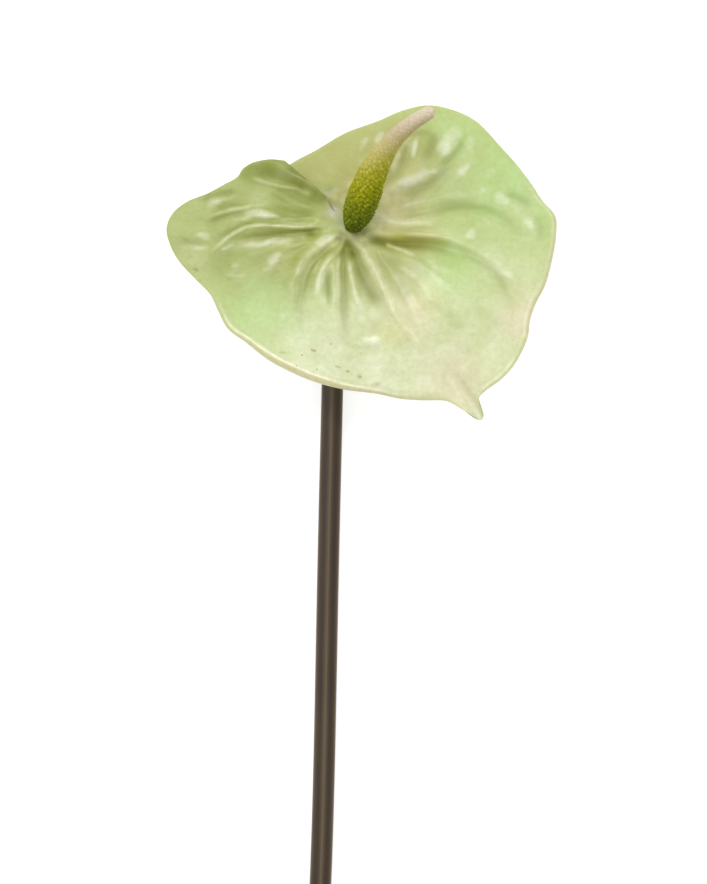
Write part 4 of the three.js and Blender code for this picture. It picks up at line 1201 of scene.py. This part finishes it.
# Painted reflection along both flanks of the stem.
colour = skin.over(colour, FLANK_REFLECTION_BEIGE, "flank", 0.7, 0.95, 0.35)
skin.finish(
    Base_Color=colour, Roughness=skin.spread(grain, 0.3, 0.7, 0.36, 0.52),
    Normal=skin.bump(grain, 0.00008, 0.6), Specular_IOR_Level=0.35,
    Coat_Weight=0.12, Coat_Roughness=0.25,
)

pith = Wiring(stem, "stem_pith")
fibres = pith.cells(pith.place(), 1400)
colour = pith.over(PITH_CREAM, FIBRE_OLIVE, fibres, 0.4, 0.15)
pith.finish(Base_Color=colour, Roughness=0.6, Normal=pith.bump(fibres, 0.0002, 0.7))
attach(stem, "root")
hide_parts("stem")
print("stem materials", [material.name for material in stem.data.materials])

# %% [markdown]
# ## The spadix's core
# The spadix is a tapering finger that stands on the foot and curves to the right. A plain
# core carries the florets; it is a little thinner than the finger, so that only the
# grooves between florets show it.

# %% Course of the spadix
SPADIX_ROUTE = [  # from the foot
    (1.1, 6.3, 8.5), (5.2, 16.3, 19.5), (10.9, 24.9, 29), (17.5, 30.4, 36), (23.1, 33.5, 40.5),
]
SPADIX_RADII = [3.7, 4.8, 5.0, 4.5, 3.85, 3.2, 2.7, 2.3, 1.95]
BASE_NARROWING, BASE_PART = 0.16, 0.07  # the base draws in by this share, over this share
CORE_INSET, CORE_INSET_ABOVE = 0.3, 0.1
SMOOTH_FROM, SMOOTH_BY = 0.35, 0.7  # shares of its length between which its skin gets smooth
CORE_SECTIONS, CORE_SIDES = 96, 40
CORE_CROWDING = 1.15  # above 1, the sections are closer together near the tip
CORE_LEAST, CORE_TIP = 0.15, (0.03, 0.02, 0.03)  # least radius, and the tip's place past it
SLANT_PART = 0.16
AXIS_STEP = 0.004
TIP_BLUNTNESS = 0.02

base = FOOT + (*SPADIX_BASE, FOOT_SLOPE @ SPADIX_BASE) + FOOT_NORMAL * PIECE_GAP
route = [base] + [FOOT + np.array(place) for place in SPADIX_ROUTE]
fine_course = smooth_course(route, np.linspace(0, 1, 801))
lengths = lengths_along(fine_course)
SPADIX_LENGTH = lengths[-1]


def spadix_axis(part):
    """Place and direction on the spadix's axis at a share of its length."""
    place, ahead, behind = (
        np.array([np.interp(at * SPADIX_LENGTH, lengths, fine_course[:, axis]) for axis in range(3)])
        for at in (part, min(part + AXIS_STEP, 1), max(part - AXIS_STEP, 0))
    )
    direction = ahead - behind
    return place, direction / np.linalg.norm(direction)


def spadix_radius(part):
    spot = np.clip(part, 0, 1) * (len(SPADIX_RADII) - 1)
    index = min(int(spot), len(SPADIX_RADII) - 2)
    share = spot - index
    wide = lerp(SPADIX_RADII[index], SPADIX_RADII[index + 1], smoothstep(share, 0, 1))
    wide = wide * (1 - BASE_NARROWING * (1 - smoothstep(part, 0, BASE_PART)))
    to_tip = min((1 - part) * SPADIX_LENGTH / SPADIX_RADII[-1], 1)
    return wide * np.sqrt(max(TIP_BLUNTNESS, 1 - (1 - to_tip) ** 2))


print("spadix", round(SPADIX_LENGTH, 1), "mm long")

# %% Make the core
def spadix_corner(part, angle, radius_there):
    """A place on the spadix; its base is cut parallel to the foot."""
    place, direction = spadix_axis(part)
    sideways, upward = cross_directions(direction)
    out = radius_there * (np.cos(angle) * sideways + np.sin(angle) * upward)
    slide = -(out @ FOOT_NORMAL) / (direction @ FOOT_NORMAL)
    return place + out + direction * slide * (1 - smoothstep(part, 0, SLANT_PART))


core_rings = []
core_angles = 2 * np.pi * np.arange(CORE_SIDES) / CORE_SIDES
for index in range(CORE_SECTIONS):
    part = 1 - (1 - index / (CORE_SECTIONS - 1)) ** CORE_CROWDING
    inset = lerp(CORE_INSET, CORE_INSET_ABOVE, smoothstep(part, SMOOTH_FROM, SMOOTH_BY))
    inner = max(spadix_radius(part) - inset, CORE_LEAST)
    core_rings.append(np.array([spadix_corner(part, angle, inner) for angle in core_angles]))
spadix = make_rod("spadix_finger", core_rings, base, core_rings[-1].mean(0) + CORE_TIP)
print("core", len(spadix.data.polygons), "faces")

# %% [markdown]
# ## One floret
# Each tiny flower is a lozenge pad of four tepals round a small stigma. It is modelled
# once, from a low sphere with eight sides, and pushed into shape ring by ring: the stigma
# in the middle, a groove round it, the crest of the tepals and a skirt that sinks into
# the core. With a few dozen faces it can be repeated hundreds of times.

# %% Model the floret
FLORET_SIDES = 8
FLORET_RINGS = [(0, 0.52), (0.2, 0.44), (0.34, 0.18), (0.62, 0.2), (0.94, 0.1), (1, -0.45)]  # out and up
SPHERE_RINGS = 2 * len(FLORET_RINGS) - 2
TEPAL_RING, TEPAL_HEIGHT = 3, 0.06
CORNERS_OUT = 0.1  # by which share the lozenge's corners stand out and its sides draw in
STIGMA_RADIUS = 0.25

floret = start_from(
    bpy.ops.mesh.primitive_uv_sphere_add, "floret",
    segments=FLORET_SIDES, ring_count=SPHERE_RINGS, radius=1,
)
corners = corner_places(floret)
polar = np.arccos(np.clip(corners[:, 2], -1, 1))
level = np.rint(polar / np.pi * SPHERE_RINGS).astype(int)
turn = np.arctan2(corners[:, 1], corners[:, 0])
out, high = np.array(FLORET_RINGS)[np.minimum(level, len(FLORET_RINGS) - 1)].T
out = out * (1 + CORNERS_OUT * np.cos(4 * turn))
high = high + np.where(level == TEPAL_RING, TEPAL_HEIGHT * np.cos(4 * turn), 0)
place_corners(floret, np.stack([out * np.cos(turn), out * np.sin(turn), high], axis=1))
mesh = bmesh.new()
mesh.from_mesh(floret.data)
lower = [vertex for vertex, ring in zip(mesh.verts, level) if ring >= len(FLORET_RINGS)]
bmesh.ops.delete(mesh, geom=lower, context="VERTS")
mesh.to_mesh(floret.data)
mesh.free()
template = corner_places(floret)
out = np.hypot(template[:, 0], template[:, 1])
paint(floret, "stigma", out < STIGMA_RADIUS)
paint(floret, "pad", np.minimum(out, 1))
print("floret", len(floret.data.polygons), "faces")

# %% [markdown]
# ## Strewing the florets
# Florets stand in the spiral order that many plants share: each one a golden angle
# further round than the last, and just far enough along that all get the same room.

# %% Golden-angle places
FLORET_COUNT = 800
FLORET_FILL = 0.64  # a floret's half width as a share of the side of its own room
GOLDEN_TURN = np.pi * (3 - np.sqrt(5))

parts = np.linspace(0, 1, 600)
room = np.array([spadix_radius(part) for part in parts])
covered = np.concatenate([[0], np.cumsum((room[1:] + room[:-1]) / 2)])
floret_parts = np.interp((np.arange(FLORET_COUNT) + 0.5) / FLORET_COUNT, covered / covered[-1], parts)
area = 2 * np.pi * covered[-1] * parts[1] * SPADIX_LENGTH
FLORET_SIZE = FLORET_FILL * np.sqrt(area / FLORET_COUNT)
print("florets", FLORET_COUNT, "half width", round(float(FLORET_SIZE), 2), "mm")

# %% Copy the florets onto the core
# The spadix is painted in shade on the side this points to.
SHADED_SIDE = np.array([0.8, -0.6, 0])  # towards the side of the spadix that is darker and more yellow
PART_JITTER, TURN_JITTER = 0.006, 0.09
FLORET_SINK = 0.12
SIZES, HEIGHTS = (0.94, 1.06), (0.7, 1.3)  # shares of the usual size
TIP_SHRINKING = 0.12  # share by which the florets of the tip are smaller
TIP_FROM = 0.9
SMOOTH_HEIGHT = 0.2  # share of their height that the upper florets keep
PART_STEP, TURN_STEP = 0.01, 0.05  # small steps that tell how the skin lies round a floret


def seat(part, angle):
    """Where a floret sits."""
    return spadix_corner(part, angle, spadix_radius(part) - FLORET_SINK)


copies = []
for index, part in enumerate(floret_parts):
    part = np.clip(part + rng.uniform(-PART_JITTER, PART_JITTER), 0, 1)
    angle = index * GOLDEN_TURN + rng.uniform(-TURN_JITTER, TURN_JITTER)
    here = seat(part, angle)
    round_way = seat(part, angle + TURN_STEP) - here
    round_way = round_way / np.linalg.norm(round_way)
    long_way = seat(min(part + PART_STEP, 1), angle) - here
    long_way = long_way - round_way * (long_way @ round_way)
    long_way = long_way / np.linalg.norm(long_way)
    outward = np.cross(round_way, long_way)
    if outward @ (here - spadix_axis(part)[0]) < 0:
        outward = -outward
    size = FLORET_SIZE * rng.uniform(*SIZES) * (1 - TIP_SHRINKING * smoothstep(part, TIP_FROM, 1))
    height = FLORET_SIZE * rng.uniform(*HEIGHTS)
    height = height * lerp(1, SMOOTH_HEIGHT, smoothstep(part, SMOOTH_FROM, SMOOTH_BY))
    copy = floret.copy()
    copy.data = floret.data.copy()
    bpy.context.collection.objects.link(copy)
    laid = here + size * (template[:, :1] * round_way + template[:, 1:2] * long_way)
    place_corners(copy, (laid + height * template[:, 2:] * outward) * MM)
    paint(copy, "along", part)
    paint(copy, "flank", outward @ SHADED_SIDE)
    paint(copy, "own", rng.uniform())
    copies.append(copy)
bpy.data.objects.remove(floret)
print(len(copies), "florets laid")

# %% Join core and florets
core_corners = corner_places(spadix) / MM
nearest_course = [np.argmin(((fine_course - corner) ** 2).sum(1)) for corner in core_corners]
outward = core_corners - fine_course[nearest_course]
outward = outward / np.linalg.norm(outward, axis=1, keepdims=True)
paint(spadix, "along", lengths[nearest_course] / SPADIX_LENGTH)
paint(spadix, "flank", outward @ SHADED_SIDE)
paint(spadix, "own", 0.5)
paint(spadix, "stigma", 0)
paint(spadix, "pad", 1)
select_only(spadix)
for copy in copies:
    copy.select_set(True)
bpy.ops.object.join()
spadix.data.materials.clear()
new_materials(spadix, "spadix_florets")
edit(spadix, lambda: bpy.ops.mesh.normals_make_consistent(inside=False))
sort_mesh(spadix)
smooth_shading(spadix)
print("spadix", triangles(spadix), "triangles")

# %% [markdown]
# ## The spadix's finish
# Its colour tells how far the florets have opened: dark green at the foot, then a lively
# yellow-green with bright stigmas, a beige stretch, and a pale pink tip. A ramp along the
# stored length gives that, and each floret shifts it a little by its own number. The right
# side is painted in shade, darker and more yellow, and painted shade darkens where the lower
# florets meet.

# %% Spadix material
RAMP = [
    (0, tint(80, 91, 0)), (0.14, tint(104, 115, 0)), (0.34, tint(149, 150, 0)),
    (0.48, tint(173, 168, 54)), (0.62, tint(188, 177, 108)), (0.78, tint(196, 178, 140)),
    (1, tint(216, 201, 178)),
]
STIGMA_RAMP = [
    (0, tint(130, 138, 20)), (0.3, tint(200, 198, 50)), (0.55, tint(216, 200, 118)),
    (1, tint(220, 196, 174)),
]
# Filters that paint the shaded side darker, lower and higher up the spadix.
LOWER_SHADE_FILTER, UPPER_SHADE_FILTER = (0.97, 0.98, 0.55, 1), (0.84, 0.84, 0.7, 1)  # for the darker side
GAP_SHADE_FILTER = tint(150, 140, 90)

finger = Wiring(spadix, "spadix_florets")
along, flank, own = (finger.attribute(name) for name in ("along", "flank", "own"))
spot = finger.math("ADD", along, finger.spread(own, 0, 1, -0.035, 0.035))
# The ramp also moves a little with the side: part of the painted shade on the shaded side.
spot = finger.math("ADD", spot, finger.spread(flank, -0.6, 0.7, 0.04, -0.05))
side_shade_filter = finger.over(LOWER_SHADE_FILTER, UPPER_SHADE_FILTER, along, 0.3, 0.6)
pads = finger.mix(finger.spread(flank, -0.5, 0.7), finger.ramp(spot, RAMP), side_shade_filter, "MULTIPLY")
bright = finger.times(finger.attribute("stigma"), finger.spread(own, 0.3, 0.9))
colour = finger.over(pads, finger.ramp(spot, STIGMA_RAMP), bright)
# Painted shade where the lower florets meet.
gap_shade = finger.spread(along, 0.35, 0.65, 0.15, 0)
gap_shade = finger.times(finger.spread(finger.attribute("pad"), 0.72, 1), gap_shade)
colour = finger.over(colour, finger.mix(1, pads, GAP_SHADE_FILTER, "MULTIPLY"), gap_shade)
grain = finger.noise(finger.place(), 2600, 2)
finger.finish(
    Base_Color=colour, Roughness=finger.spread(grain, 0.3, 0.7, 0.45, 0.62),
    Normal=finger.bump(grain, 0.00008, 0.5), Specular_IOR_Level=0.15, Subsurface_Weight=0.08,
    Subsurface_Radius=(0.8, 0.6, 0.3), Subsurface_Scale=0.0008,
)
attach(spadix, "root")
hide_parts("spadix")
print("spadix material", len(finger.tree.nodes), "nodes")

# %% [markdown]
# ## Table and light
# A plain pale table, lit as in a studio. The key light stands beyond the head and picks
# out the cushions and folds, with a wide soft light on the left, a small one on the right
# and a weak one from the stem's side. A bright surround keeps the shadows faint.

# %% Table
TABLE_DROP = 0.0002  # below the flower, in metres

table = start_from(bpy.ops.mesh.primitive_plane_add, "table", size=6, location=(0, 0, -TABLE_DROP))
new_materials(table, "table_top")
Wiring(table, "table_top").finish(
    Base_Color=(0.4, 0.4, 0.4, 1), Roughness=0.9, Specular_IOR_Level=0.1,
    Emission_Color=(1, 1, 1, 1), Emission_Strength=0.75,
)
print("table", TABLE_DROP * 1000, "mm below the flower")

# %% Lights
HEAD = Vector((0, 0.14, 0.015))
LIGHTS = {  # place, width and depth in metres, power in watts
    "key": ((-0.2, 0.95, 1.5), 0.5, 0.4, 8),
    "side": ((-1.1, 0.5, 1.2), 1.2, 1.2, 6),
    "right": ((0.75, 0.72, 1.2), 0.35, 0.35, 2.5),
    "fill": ((1, -0.4, 1.4), 0.8, 0.8, 2),
}
SURROUND = 0.68

for name, (place, width, depth, power) in LIGHTS.items():
    data = bpy.data.lights.new(name, "AREA")
    data.shape = "RECTANGLE"
    data.size, data.size_y, data.energy = width, depth, power
    light = bpy.data.objects.new(name, data)
    light.location = place
    light.rotation_euler = (HEAD - Vector(place)).to_track_quat("-Z", "Y").to_euler()
    bpy.context.collection.objects.link(light)
world = bpy.data.worlds.new("surround")
world.use_nodes = True
background = world.node_tree.nodes["Background"]
background.inputs["Color"].default_value = (1, 1, 1, 1)
background.inputs["Strength"].default_value = SURROUND
bpy.context.scene.world = world

settings = bpy.context.scene.view_settings
settings.view_transform = "Standard"
settings.look = "None"
print(len(LIGHTS), "lights round the table")
